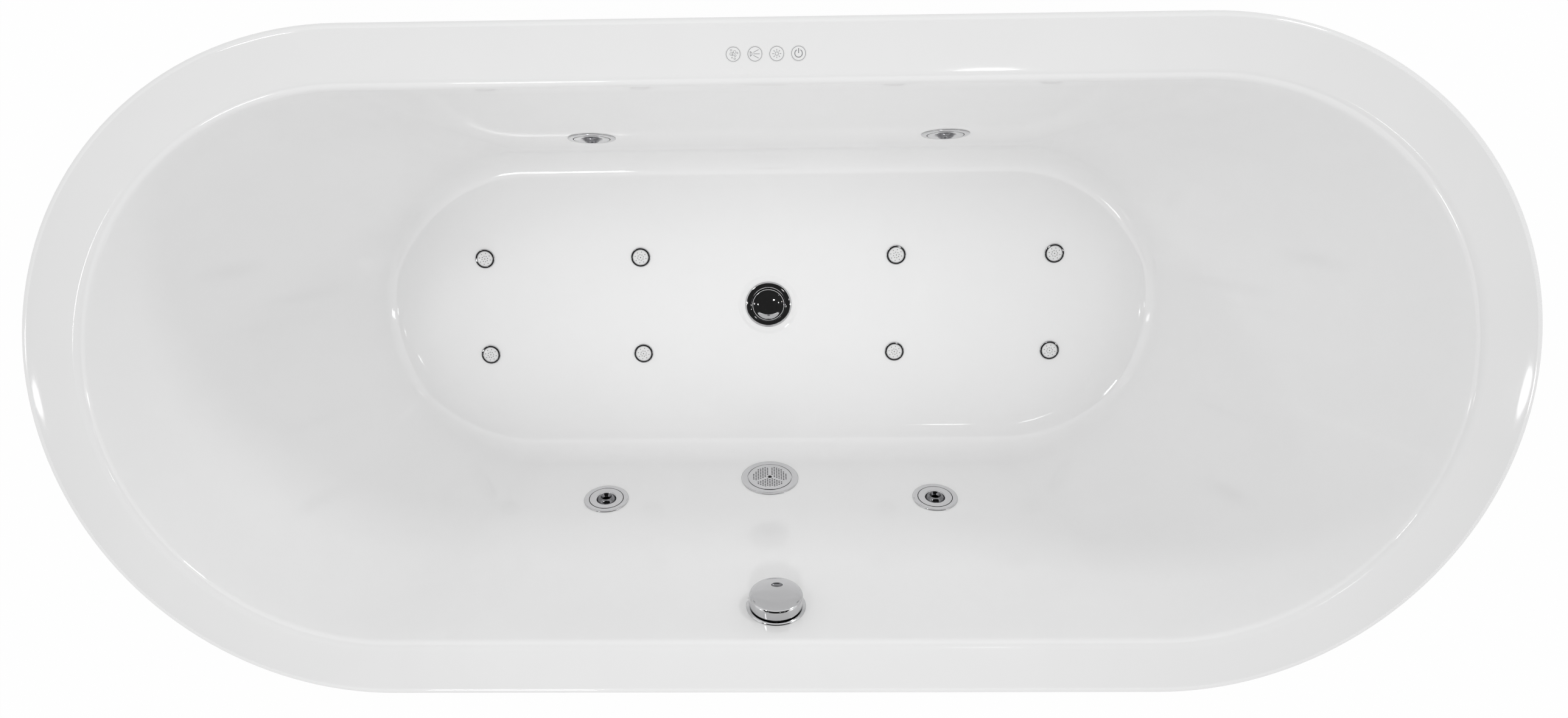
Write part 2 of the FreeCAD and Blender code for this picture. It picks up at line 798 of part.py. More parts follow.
def suction_cover():
    """Perforated round cover held by one screw in the middle."""
    face = seat_gap + suction_flange_height + 0.4
    back = seat_gap + suction_ledge + 0.2
    profile = [(2.2, back), (suction_cover_radius, back), (suction_cover_radius, face - 0.6),
               (suction_cover_radius - 0.6, face), (3.4, face), (2.2, face - 1.0)]
    solid = turned(profile, Vector(0, 0, 0), Z_AXIS)
    half = suction_hole_size / 2
    holes = []
    for x, y in suction_hole_pattern():
        corners = [Vector(x + half, y, back - 1), Vector(x, y + half, back - 1), Vector(x - half, y, back - 1),
                   Vector(x, y - half, back - 1), Vector(x + half, y, back - 1)]
        holes.append(Part.Face(Part.makePolygon(corners)).extrude(Vector(0, 0, 6)))
    solid = solid.cut(group(holes))
    solid.Placement = suction_placement()
    return solid


def suction_screw():
    face = seat_gap + suction_flange_height + 0.3
    profile = [(0, -14), (1.6, -14), (1.6, face - 1.3), (3.0, face - 0.15), (3.0, face), (0, face)]
    return turned(profile, suction_point, suction_normal)


def suction_gasket():
    start = skin + seat_gap
    return ring(suction_point, suction_normal, suction_flange_radius - 1, suction_hole_radius,
                -start - jet_gasket, -start)


def suction_body():
    """Housing behind the wall with its spigot straight down."""
    start = skin + seat_gap + jet_gasket + seat_gap
    inner = suction_hole_radius - 0.5 + seat_gap
    depth = suction_body_depth
    profile = [(inner, -start), (suction_flange_radius, -start), (suction_flange_radius, -start - 4),
               (suction_body_radius, -start - 6), (suction_body_radius, -depth + 4),
               (suction_body_radius - 4, -depth), (0, -depth), (0, -depth + 4), (inner, -depth + 4)]
    solid = turned(profile, suction_point, suction_normal)
    centre = suction_point - suction_normal * suction_setback
    foot = Vector(centre.x, centre.y, centre.z - suction_body_radius - 22)
    solid = solid.fuse(rod(centre, foot, suction_spigot_radius))
    solid = solid.cut(rod(suction_point - suction_normal * start, suction_point - suction_normal * (depth - 4), inner))
    return solid.cut(rod(centre, foot - Z_AXIS, suction_spigot_radius - 3))


def suction_pipe():
    """From the suction down, along under the near side and into the pump's inlet."""
    centre = suction_point - suction_normal * suction_setback
    top = centre.z - suction_body_radius - 4
    points = [Vector(0, centre.y, top), Vector(0, centre.y, suction_run_z),
              Vector(pump_x(), centre.y, suction_run_z), Vector(pump_x(), pump_inlet_end() + 16, suction_run_z)]
    return bent_pipe(points, suction_bend, suction_pipe_radius, suction_spigot_radius + 0.2)


# ---------------------------------------------------------------- pump
def pump_volute_start():
    return pump_outlet_y - pump_volute_length / 2


def pump_inlet_end():
    return pump_volute_start() - 30


def pump_centre(y):
    return Vector(pump_x(), y, suction_run_z)


def pump_volute():
    """Wet end: inlet spigot in front, outlet spigot on top, chamber for the impeller."""
    front = pump_volute_start()
    length = pump_volute_length
    profile = [(0, 0), (suction_spigot_radius, 0), (suction_spigot_radius, 24), (pump_radius - 14, 30),
               (pump_radius, 40), (pump_radius, 30 + length), (0, 30 + length)]
    solid = turned(profile, pump_centre(pump_inlet_end()), Y_AXIS)
    top = pump_centre(pump_outlet_y) + Z_AXIS * (pump_radius + 40)
    solid = solid.fuse(rod(pump_centre(pump_outlet_y), top, main_radius - pipe_wall - 0.2))
    chamber = rod(pump_centre(front + 20), pump_centre(front + length - 8), pump_impeller_radius + 4)
    inlet = rod(pump_centre(pump_inlet_end() - 1), pump_centre(front + 21), suction_spigot_radius - 4)
    outlet = rod(pump_centre(pump_outlet_y) + Z_AXIS * (pump_impeller_radius - 4), top + Z_AXIS,
                 main_radius - 2 * pipe_wall - 0.2)
    bore = rod(pump_centre(front), pump_centre(front + length + 1), pump_shaft_radius + running_gap)
    return solid.cut(chamber).cut(inlet).cut(outlet).cut(bore)


def pump_impeller():
    """Disc with six swept vanes and a hub on the shaft."""
    front = pump_volute_start() + 24
    back = pump_volute_start() + pump_volute_length - 12
    solid = rod(pump_centre(back - 4), pump_centre(back), pump_impeller_radius)
    solid = solid.fuse(rod(pump_centre(front), pump_centre(back), pump_shaft_radius + 5))
    for turn in range(6):
        vane = Part.makeBox(4, back - front - 4, pump_impeller_radius - 14,
                            pump_centre(front) + Vector(-2, 0, 11))
        vane.rotate(pump_centre(front) + Z_AXIS * 11, Y_AXIS, 18)
        vane.rotate(pump_centre(front), Y_AXIS, 60 * turn)
        solid = solid.fuse(vane)
    rim = rod(pump_centre(front), pump_centre(back), pump_impeller_radius)
    solid = solid.common(rim).removeSplitter()
    return solid.cut(rod(pump_centre(front - 1), pump_centre(back + 1), pump_shaft_radius + seat_gap / 2))


def pump_motor_start():
    return pump_volute_start() + pump_volute_length + seat_gap


def terminal_base():
    return suction_run_z + pump_motor_radius + 2


def pump_motor():
    """Finned motor housing, bored for the shaft, with feet below and a saddle for the terminal box."""
    start = pump_motor_start()
    end = start + pump_motor_length
    solid = rod(pump_centre(start), pump_centre(start + 12), pump_motor_radius)
    solid = solid.fuse(rod(pump_centre(start + 12), pump_centre(end), pump_motor_radius - 6))
    for turn in range(pump_fins):
        fin = Part.makeBox(2.4, pump_motor_length - 32, 8,
                           pump_centre(start + 20) + Vector(-1.2, 0, pump_motor_radius - 8))
        fin.rotate(pump_centre(start), Y_AXIS, 360 / pump_fins * (turn + 0.5))
        solid = solid.fuse(fin)
    foot_width = 84.0
    foot_height = suction_run_z - shelf_top - seat_gap
    for y in (start + 14, end - 30):
        foot = Part.makeBox(foot_width, 14, foot_height - pump_motor_radius * 0.55,
                            Vector(pump_x() - foot_width / 2, y, shelf_top + seat_gap))
        solid = solid.fuse(foot)
    saddle_low = suction_run_z + pump_motor_radius - 14
    saddle = Part.makeBox(terminal_width - 12, terminal_length - 12, terminal_base() - seat_gap - saddle_low,
                          Vector(pump_x() - terminal_width / 2 + 6, start + terminal_start + 6, saddle_low))
    solid = solid.fuse(saddle)
    return solid.cut(rod(pump_centre(start - 1), pump_centre(end + 1), pump_shaft_radius + running_gap))


def pump_shaft():
    start = pump_volute_start() + 24
    end = pump_motor_start() + pump_motor_length + 34
    return rod(pump_centre(start), pump_centre(end), pump_shaft_radius)


def pump_fan():
    """Cooling fan on the back end of the shaft."""
    start = pump_motor_start() + pump_motor_length + 8
    solid = rod(pump_centre(start), pump_centre(start + 3), pump_fan_radius)
    solid = solid.fuse(rod(pump_centre(start), pump_centre(start + 22), pump_shaft_radius + 5))
    for turn in range(8):
        blade = Part.makeBox(2, 20, pump_fan_radius - 10, pump_centre(start + 2) + Vector(-1, 0, 10))
        blade.rotate(pump_centre(start), Y_AXIS, 45 * turn)
        solid = solid.fuse(blade)
    solid = solid.common(rod(pump_centre(start), pump_centre(start + 22), pump_fan_radius)).removeSplitter()
    return solid.cut(rod(pump_centre(start - 1), pump_centre(start + 23), pump_shaft_radius + seat_gap / 2))


def pump_fan_cowl():
    """Cover over the fan with a ring of slots in its end."""
    start = pump_motor_start() + pump_motor_length - 10
    end = start + pump_cowl_length
    outer = pump_motor_radius + 1
    inner = pump_motor_radius - 6 + seat_gap
    solid = rod(pump_centre(start), pump_centre(end), outer)
    solid = solid.cut(rod(pump_centre(start - 1), pump_centre(start + 10), inner))
    solid = solid.cut(rod(pump_centre(start + 9), pump_centre(end - 3), outer - 3))
    for turn in range(12):
        slot = Part.makeBox(6, 8, 24, pump_centre(end - 5) + Vector(-3, 0, 18))
        slot.rotate(pump_centre(end), Y_AXIS, 30 * turn)
        solid = solid.cut(slot)
    return solid


def pump_terminal_box():
    """Box for the motor's wiring, with two glands."""
    start = pump_motor_start() + terminal_start
    side = pump_x() + terminal_width / 2
    base = terminal_base()
    low = Vector(pump_x() - terminal_width / 2, start, base)
    box = Part.makeBox(terminal_width, terminal_length, terminal_height, low)
    upright = [edge for edge in box.Edges if edge.BoundBox.ZLength > terminal_height - 1]
    box = box.makeFillet(6, upright)
    line_z = base + 0.7 * terminal_height
    lid_line = Part.makeBox(terminal_width + 2, terminal_length + 2, 1, Vector(low.x - 1, low.y - 1, line_z))
    core = Part.makeBox(terminal_width - 3, terminal_length - 3, 3, Vector(low.x + 1.5, low.y + 1.5, line_z - 1))
    box = box.cut(lid_line.cut(core))
    for y in (start + 0.3 * terminal_length, start + 0.7 * terminal_length):
        gland = rod(Vector(side - 1, y, base + 12), Vector(side + 12, y, base + 12), 8)
        hole = rod(Vector(side - 5, y, base + 12), Vector(side + 13, y, base + 12), 4)
        box = box.fuse(gland).cut(hole)
    return box


# ---------------------------------------------------------------- blower and air to the floor
def blower_housing():
    """Drum with an intake grille round its top and an outlet to the side."""
    centre = Vector(blower_x, 0, blower_bottom)
    height = blower_height
    profile = [(0, 0), (blower_radius, 0), (blower_radius, height - 10), (blower_radius - 10, height),
               (0, height), (0, height - 4), (blower_radius - 12, height - 4), (blower_radius - 4, height - 12),
               (blower_radius - 4, 60), (20, 60), (20, 100), (8 + running_gap, 100), (8 + running_gap, 30), (0, 30)]
    solid = turned(profile, centre, Z_AXIS)
    outlet_z = suction_run_z + 22
    start = Vector(blower_loop_x, blower_radius - 20, outlet_z)
    end = Vector(blower_loop_x, blower_radius + 16, outlet_z)
    solid = solid.fuse(rod(start, end, blower_hose_radius - pipe_wall - 0.2))
    solid = solid.cut(rod(start - Y_AXIS * 10, end + Y_AXIS, blower_hose_radius - 2 * pipe_wall))
    for turn in range(12):
        slot = Part.makeBox(blower_radius - 44, 5, 20, centre + Vector(28, -2.5, height - 8))
        slot.rotate(centre, Z_AXIS, 30 * turn)
        solid = solid.cut(slot)
    return solid


def blower_fan():
    """Backward-bladed wheel on its own shaft."""
    base = blower_bottom + 104
    centre = Vector(blower_x, 0, base)
    solid = Part.makeCylinder(blower_radius - 12, 3, centre)
    solid = solid.fuse(Part.makeCylinder(8, 70, centre - Z_AXIS * 70))
    for turn in range(8):
        blade = Part.makeBox(34, 2, 16, centre + Vector(18, -1, 1))
        blade.rotate(centre + Vector(18, 0, 0), Z_AXIS, 25)
        blade.rotate(centre, Z_AXIS, 45 * turn)
        solid = solid.fuse(blade)
    return solid.removeSplitter()


def blower_feet():
    """Rubber mounts between the blower and its shelf."""
    feet = []
    for turn in (30, 150, 270):
        x = blower_x + (blower_radius - 16) * math.cos(math.radians(turn))
        y = (blower_radius - 16) * math.sin(math.radians(turn))
        base = shelf_top + seat_gap
        feet.append(Part.makeCylinder(9, blower_bottom - seat_gap - base, Vector(x, y, base)))
    return group(feet)


def blower_hose():
    """Hose with its high loop, which keeps bath water out of the blower."""
    outlet_z = suction_run_z + 22
    points = [Vector(blower_loop_x, blower_radius + 2, outlet_z), Vector(blower_loop_x, 110, outlet_z),
              Vector(blower_loop_x, 110, blower_loop_top), Vector(blower_loop_x, header_y + 12, blower_loop_top),
              Vector(blower_loop_x, header_y + 12, manifold_z - 8), Vector(header_x + 30, header_y + 12, manifold_z - 8)]
    return bent_pipe(points, 28, blower_hose_radius, blower_hose_radius - pipe_wall)


def floor_air_manifold():
    """Header and two long pipes under the floor with a riser to each injector."""
    z = manifold_z - 8
    start = Vector(header_x + 42, header_y + 12, z)
    corner = Vector(header_x, header_y + 12, z)
    end = Vector(header_x, injector_y[0] - 6, z)
    inlet = blower_hose_radius - pipe_wall - 0.2
    solid = swept(bent_path([start, corner, end], 26), inlet)
    cores = [swept(bent_path([start + X_AXIS, corner, end + Y_AXIS * 4], 26), inlet - 2.5)]
    left = injector_x[0] - 14
    for y in injector_y:
        solid = solid.fuse(rod(Vector(header_x, y, z), Vector(left, y, z), manifold_radius))
        cores.append(rod(Vector(header_x, y, z), Vector(left + 3, y, z), manifold_radius - 2))
    riser_top = injector_body_bottom() - seat_gap
    sleeve = injector_spigot_radius + 0.15
    for place in injector_places():
        foot = Vector(place.x, place.y, z)
        head = Vector(place.x, place.y, riser_top)
        solid = solid.fuse(rod(foot, head, sleeve + 2))
        cores.append(rod(foot, head + Z_AXIS, sleeve))
    solid = solid.removeSplitter()
    for core in cores:
        solid = solid.cut(core)
    return solid


# ---------------------------------------------------------------- floor injectors
def injector_body_top():
    return floor_top - skin - injector_seal - 2 * seat_gap


def injector_body_bottom():
    return injector_body_top() - 26


def injector_ring(place):
    """Chrome-plated nozzle ring with its threaded tube through the floor."""
    lift = seat_gap
    tube_length = skin + 18
    inner = injector_face_radius + 0.1
    profile = [(injector_tube_radius - 2, -tube_length), (injector_tube_radius, -tube_length),
               (injector_tube_radius, lift), (injector_ring_radius, lift),
               (injector_ring_radius, lift + 0.8), (injector_ring_radius - 1.6, lift + injector_ring_height),
               (inner + 0.7, lift + injector_ring_height), (inner, lift + injector_ring_height - 0.7),
               (inner, lift + 0.2), (injector_tube_radius - 2, lift + 0.2)]
    return turned(profile, place, Z_AXIS)


def injector_face(place):
    """Domed translucent face of the injector."""
    base = 0.5 + seat_gap
    profile = [(0, base), (injector_face_radius, base), (injector_face_radius, base + 1.2),
               (injector_face_radius * 0.6, base + 1.7), (0, base + 1.9)]
    return turned(profile, place, Z_AXIS)


def injector_seal_ring(place):
    top = floor_top - skin - seat_gap - place.z
    return ring(place, Z_AXIS, injector_body_radius, injector_hole_radius, top - injector_seal, top)


def injector_body(place):
    """Cup screwed on from below, with its hose spigot."""
    top = injector_body_top() - place.z
    bottom = injector_body_bottom() - place.z
    inner = injector_tube_radius + 0.1
    spigot = injector_spigot_radius
    bore = spigot - 1.8
    profile = [(inner, top), (injector_body_radius, top), (injector_body_radius, bottom + 4),
               (injector_body_radius - 4, bottom), (spigot, bottom), (spigot, bottom - 14), (bore, bottom - 14),
               (bore, bottom + 3), (inner, bottom + 3)]
    return turned(profile, place, Z_AXIS)


def injector_lamp(place):
    """Lamp module held in the tube, which lights the face from below."""
    top = -skin - 4
    radius = injector_tube_radius - 2 - seat_gap
    return ring(place, Z_AXIS, radius, 3, top - 8, top)


# ---------------------------------------------------------------- waste
def waste_place():
    return Vector(0, 0, floor_top - waste_recess_depth)


def waste_flange():
    """Chrome flange in the recess with its threaded throat."""
    lift = seat_gap
    face = lift + waste_flange_height
    throat = waste_throat_radius
    bore = throat - waste_throat_wall
    profile = [(bore, -waste_throat_length), (throat, -waste_throat_length), (throat, lift),
               (waste_flange_radius, lift), (waste_flange_radius, lift + 0.7),
               (waste_flange_radius - 3, face - 0.5), (waste_flange_radius - 5, face), (waste_mouth_radius + 0.6, face),
               (waste_mouth_radius, face - 0.8), (waste_mouth_radius, lift + 1.2), (bore, lift + 0.2)]
    solid = turned(profile, waste_place(), Z_AXIS)
    guide_z = waste_place().z - 24
    for turn in (0, 90):
        bar = Part.makeBox(2 * bore + 2, 3, 8, Vector(-bore - 1, -1.5, guide_z))
        bar.rotate(Vector(0, 0, 0), Z_AXIS, turn)
        solid = solid.fuse(bar)
    hub = Part.makeCylinder(plug_stem_radius + 3, 8, Vector(0, 0, guide_z))
    solid = solid.fuse(hub).removeSplitter()
    return solid.cut(Part.makeCylinder(plug_stem_radius + running_gap, 30, Vector(0, 0, guide_z - 10)))


def plug_base():
    return waste_place().z + seat_gap + 2.6


def waste_plug():
    """Domed plug cap."""
    base = plug_base()
    profile = [(0, 0), (plug_radius - 2, 0), (plug_radius, 0.9), (plug_radius, 2.0), (plug_radius - 1.2, 3.0),
               (plug_radius - 3.4, 3.3), (plug_radius - 4.6, 3.9), (plug_radius * 0.62, plug_dome + 0.4),
               (plug_radius * 0.3, plug_dome + 1.2), (0, plug_dome + 1.4)]
    return turned(profile, Vector(0, 0, base), Z_AXIS)


def plug_seal():
    """Rubber ring under the plug cap."""
    top = plug_base() - seat_gap / 2
    return ring(Vector(0, 0, top), Z_AXIS, plug_radius - 3.2, 9, -1.0, 0)


def plug_stem():
    """Stem with its collar, which slides in the guide of the flange."""
    top = plug_base() - seat_gap / 2
    profile = [(0, -44), (plug_stem_radius, -44), (plug_stem_radius, -4), (8.6, -3), (8.6, 0), (0, 0)]
    return turned(profile, Vector(0, 0, top), Z_AXIS)


def waste_gasket():
    """Rubber ring between the floor and the waste body."""
    top = floor_top - waste_recess_depth - skin - seat_gap
    return ring(Vector(0, 0, top), Z_AXIS, waste_clamp_radius, waste_throat_radius + 0.5, -3, 0)


def waste_body_top():
    return floor_top - waste_recess_depth - skin - 2 * seat_gap - 3


def waste_body():
    """Clamping body screwed up onto the throat, with a spigot down into the trap."""
    top = waste_body_top()
    inner = waste_throat_radius + 0.15
    shoulder = waste_place().z - waste_throat_length - 1
    low = trap_top - 12
    profile = [(inner, 0), (waste_clamp_radius, 0), (waste_clamp_radius, -5), (inner + 5, -7),
               (inner + 5, shoulder - top - 2), (20, shoulder - top - 8), (20, low - top), (17, low - top),
               (17, shoulder - top), (inner, shoulder - top)]
    return turned(profile, Vector(0, 0, top), Z_AXIS)


def trap():
    """Low bottle trap: inlet collar on top, overflow inlet on one side, outlet spigot on the other."""
    height = trap_top - trap_bottom
    outer = Part.makeCylinder(trap_radius, height, Vector(0, 0, trap_bottom))
    edges = [edge for edge in outer.Edges if edge.BoundBox.ZLength < 0.01]
    outer = outer.makeChamfer(5, edges)
    collar_top = trap_top + 10
    outer = outer.fuse(Part.makeCylinder(27, collar_top - trap_top + 2, Vector(0, 0, trap_top - 2)))
    socket = overflow_pipe_radius + pipe_wall
    inlet_end = trap_radius + 18
    outer = outer.fuse(rod(Vector(0, 0, overflow_run_z), Vector(inlet_end, 0, overflow_run_z), socket))
    collar_end = -trap_radius - waste_collar_length
    outlet_end = collar_end - waste_outlet_length
    outer = outer.fuse(rod(Vector(0, 0, overflow_run_z), Vector(collar_end, 0, overflow_run_z), waste_collar_radius))
    outer = outer.fuse(rod(Vector(0, 0, overflow_run_z), Vector(outlet_end, 0, overflow_run_z),
                           waste_outlet_radius)).removeSplitter()
    solid = outer.cut(Part.makeCylinder(trap_radius - pipe_wall, height - 2 * pipe_wall,
                                        Vector(0, 0, trap_bottom + pipe_wall)))
    solid = solid.cut(Part.makeCylinder(20.2, 40, Vector(0, 0, trap_top - 15)))
    solid = solid.cut(rod(Vector(10, 0, overflow_run_z), Vector(inlet_end + 1, 0, overflow_run_z),
                          overflow_pipe_radius + 0.15))
    return solid.cut(rod(Vector(-10, 0, overflow_run_z), Vector(outlet_end - 1, 0, overflow_run_z),
                         waste_outlet_radius - 2.5))


# ---------------------------------------------------------------- overflow and its knob
def overflow_base_ring():
    """Chrome ring against the wall with a sleeve through it and a bearing for the spindle."""
    lift = seat_gap
    sleeve = overflow_hole_radius - 0.5
    profile = [(sleeve - 3, -20), (sleeve, -20), (sleeve, lift), (overflow_base_radius - 0.4, lift),
               (overflow_base_radius, lift + 0.6), (overflow_base_radius - 2.2, lift + 2.4),
               (sleeve + 1, lift + 2.4), (sleeve - 3, lift + 1)]
    solid = turned(profile, overflow_point, overflow_normal)
    hub = overflow_spindle_radius + 4
    solid = solid.fuse(rod(overflow_point - overflow_normal * 12, overflow_point - overflow_normal * 2, hub))
    for turn in range(3):
        spoke = rod(overflow_point - overflow_normal * 7,
                    overflow_point - overflow_normal * 7 + up_along_wall(overflow_normal) * (sleeve - 1.5), 2.5)
        spoke.rotate(overflow_point, overflow_normal, 120 * turn)
        solid = solid.fuse(spoke)
    bore = overflow_spindle_radius + running_gap
    solid = solid.removeSplitter()
    return solid.cut(rod(overflow_point - overflow_normal * 13, overflow_point, bore))


def overflow_knob():
    """Turned knob with a slightly domed face, a round dimple and a hollow back."""
    back = overflow_knob_gap
    face = back + overflow_knob_depth
    radius = overflow_knob_radius
    profile = [(0, back + 6), (radius - 4, back + 6), (radius - 4, back), (radius - 0.8, back), (radius, back + 0.8),
               (radius, face - 3.2), (radius - 1.0, face - 1.4), (radius - 3.0, face - 0.6),
               (radius * 0.6, face + 0.3), (0, face + 0.8)]
    solid = turned(profile, overflow_point, overflow_normal)
    up = up_along_wall(overflow_normal)
    dimple = overflow_point + up * (-radius * 0.62) + overflow_normal * (face - 1.4)
    dimple_shape = turned([(0, -2), (5.5, -2), (7.5, 1), (7.5, 6), (0, 6)], dimple, overflow_normal)
    grip = turned([(0, 0), (3.4, 0), (3.4, 1.2), (2.6, 1.8), (0, 1.8)], dimple - overflow_normal * 2, overflow_normal)
    solid = solid.cut(dimple_shape).fuse(grip)
    bore = overflow_spindle_radius + seat_gap / 2
    start = overflow_point + overflow_normal * (back + 5)
    return solid.cut(rod(start, start + overflow_normal * 6, bore)).removeSplitter()


def knob_spindle():
    """Spindle from the knob through the base ring to the cam in the overflow body."""
    front = overflow_point + overflow_normal * (overflow_knob_gap + 10.8)
    back = overflow_body_centre()
    solid = rod(back, front, overflow_spindle_radius)
    cam = rod(back, back + overflow_normal * 5, 9)
    return solid.fuse(cam).removeSplitter()


def overflow_gasket():
    start = skin + seat_gap
    return ring(overflow_point, overflow_normal, overflow_base_radius - 2, overflow_hole_radius, -start - 2, -start)


def overflow_body_centre():
    """Where the spindle's line meets the plane of the down pipe."""
    reach = (overflow_point.y - overflow_pipe_y) / overflow_normal.y
    return overflow_point - overflow_normal * reach


def overflow_body():
    """Housing behind the wall whose spigot points along the tub to the down pipe."""
    start = skin + seat_gap + 2 + seat_gap
    inner = overflow_hole_radius - 0.5 + seat_gap
    centre = overflow_body_centre()
    depth = (overflow_point - centre).Length + overflow_pipe_radius + 1
    profile = [(inner, -start), (overflow_base_radius, -start), (overflow_base_radius, -start - 3),
               (overflow_body_radius, -start - 5), (overflow_body_radius, -depth + 3),
               (overflow_body_radius - 3, -depth), (0, -depth), (0, -depth + 3), (inner, -depth + 3)]
    solid = turned(profile, overflow_point, overflow_normal)
    end = Vector(overflow_x + overflow_body_radius + 18, centre.y, centre.z)
    bore = overflow_pipe_radius - pipe_wall - 0.2
    solid = solid.fuse(rod(centre + X_AXIS * 20, end, bore))
    solid = solid.cut(rod(overflow_point - overflow_normal * start,
                          overflow_point - overflow_normal * (depth - 3), inner))
    return solid.cut(rod(centre, end + X_AXIS, bore - 2.5))


def overflow_pipe():
    """Down pipe from the overflow and along under the rails to the trap."""
    centre = overflow_body_centre()
    start = Vector(overflow_x + overflow_body_radius + 2, centre.y, centre.z)
    points = [start, Vector(overflow_pipe_x, centre.y, centre.z), Vector(overflow_pipe_x, centre.y, overflow_run_z),
              Vector(overflow_pipe_x + 12, 0, overflow_run_z), Vector(trap_radius + 6, 0, overflow_run_z)]
    return bent_pipe(points, 16, overflow_pipe_radius, overflow_pipe_radius - pipe_wall)


# ---------------------------------------------------------------- controls
def touch_pad(place):
    """Flush touch pad in the rim."""
    return Part.makeCylinder(touch_radius, rim_sheet + 1, place - Z_AXIS * (rim_sheet + 1))


def touch_sensor_box():
    """Sealed electronics behind the four pads, under the rim."""
    half_length = touch_box_half_length()
    half_width = 14.0
    top = tub_height - rim_sheet - 1 - seat_gap
    box = Part.makeBox(2 * half_length, 2 * half_width, 22,
                       Vector(touch_x - half_length, touch_y - half_width, top - 22))
    upright = [edge for edge in box.Edges if edge.BoundBox.ZLength > 20]
    box = box.makeFillet(5, upright)
    gland = rod(Vector(touch_x + half_length - 1, touch_y, top - 11),
                Vector(touch_x + half_length + 5, touch_y, top - 11), 4.5)
    hole = rod(Vector(touch_x + half_length - 6, touch_y, top - 11),
               Vector(touch_x + half_length + 6, touch_y, top - 11), 2.5)
    return box.fuse(gland).cut(hole)


def control_box():
    """Splash-proof electronics box on the inner face of the end post, glands below."""
    x_centre = max(cross_positions)
    y_outer = -post_offset + rail_size / 2 + seat_gap
    box = Part.makeBox(box_length, box_depth, box_height, Vector(x_centre - box_length / 2, y_outer, box_bottom))
    upright = [edge for edge in box.Edges if edge.BoundBox.ZLength > box_height - 1]
    box = box.makeFillet(8, upright)
    y_gland = y_outer + box_depth / 2
    for step in range(4):
        x = x_centre + (step - 1.5) * 30
        base = Vector(x, y_gland, box_bottom)
        gland = hexagon(base, 2 * gland_radius, box_bottom - 12, 12.5)
        bore = Part.makeCylinder(gland_bore, 22, Vector(x, y_gland, box_bottom - 13))
        box = box.fuse(gland).cut(bore)
    return box.removeSplitter()


# ---------------------------------------------------------------- export
def build_nodes():
    jets = jet_places()
    injectors = injector_places()
    nodes = {
        "tub_shell": tub_shell(),
        "base_board": base_board(),
        "frame_rails": frame_rails(),
        "frame_cross_members": frame_cross_members(),
        "frame_posts": frame_posts(),
        "rim_battens": rim_battens(),
        "foot_pads": foot_pads(),
        "foot_studs": foot_studs(),
        "foot_nuts": foot_nuts(),
        "equipment_shelves": group([equipment_shelf(-1), equipment_shelf(1)]),
        "jet_wall_fittings": group([jet_wall_fitting(*jet) for jet in jets]),
        "fitting_gaskets": group([jet_gasket_ring(*jet) for jet in jets]
                                 + [injector_seal_ring(place) for place in injectors]
                                 + [suction_gasket(), overflow_gasket(), waste_gasket()]),
        "jet_bodies": group([jet_body(*jet) for jet in jets]),
        "water_main": water_main(),
        "jet_air_lines": jet_air_lines(),
        "air_intakes": air_intakes(),
        "suction_fitting": suction_fitting(),
        "suction_cover": suction_cover(),
        "suction_screw": suction_screw(),
        "suction_body": suction_body(),
        "suction_pipe": suction_pipe(),
        "pump_volute": pump_volute(),
        "pump_impeller": pump_impeller(),
        "pump_shaft": pump_shaft(),
        "pump_motor": pump_motor(),
        "pump_fan": pump_fan(),
        "pump_fan_cowl": pump_fan_cowl(),
        "pump_terminal_box": pump_terminal_box(),
        "blower_housing": blower_housing(),
        "blower_fan": blower_fan(),
        "blower_feet": blower_feet(),
        "blower_hose": blower_hose(),
        "floor_air_manifold": floor_air_manifold(),
        "injector_rings": group([injector_ring(place) for place in injectors]),
        "injector_faces": group([injector_face(place) for place in injectors]),
        "injector_bodies": group([injector_body(place) for place in injectors]),
        "injector_lamps": group([injector_lamp(place) for place in injectors]),
        "waste_flange": waste_flange(),
        "waste_plug": waste_plug(),
        "plug_seal": plug_seal(),
        "plug_stem": plug_stem(),
        "waste_body": waste_body(),
        "trap": trap(),
        "overflow_base_ring": overflow_base_ring(),
        "overflow_knob": overflow_knob(),
        "knob_spindle": knob_spindle(),
        "overflow_body": overflow_body(),
        "overflow_pipe": overflow_pipe(),
        "touch_pads": group([touch_pad(place) for place in touch_places()]),
        "touch_sensor_box": touch_sensor_box(),
        "control_box": control_box(),
    }
    for number, jet in enumerate(jets, start=1):
        nodes["jet_ring_%d" % number] = jet_ring(*jet)
        nodes["jet_nozzle_%d" % number] = jet_nozzle(*jet)
    return nodes


os.makedirs("parts", exist_ok=True)
for name, shape in build_nodes().items():
    shape.exportStep(os.path.join("parts", name + ".step"))
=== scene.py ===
"""Dresses the jetted bathtub: gloss acrylic shell, chrome fittings, pipework, frame and a plain studio."""
import math

import bmesh
import bpy
from mathutils import Matrix, Vector


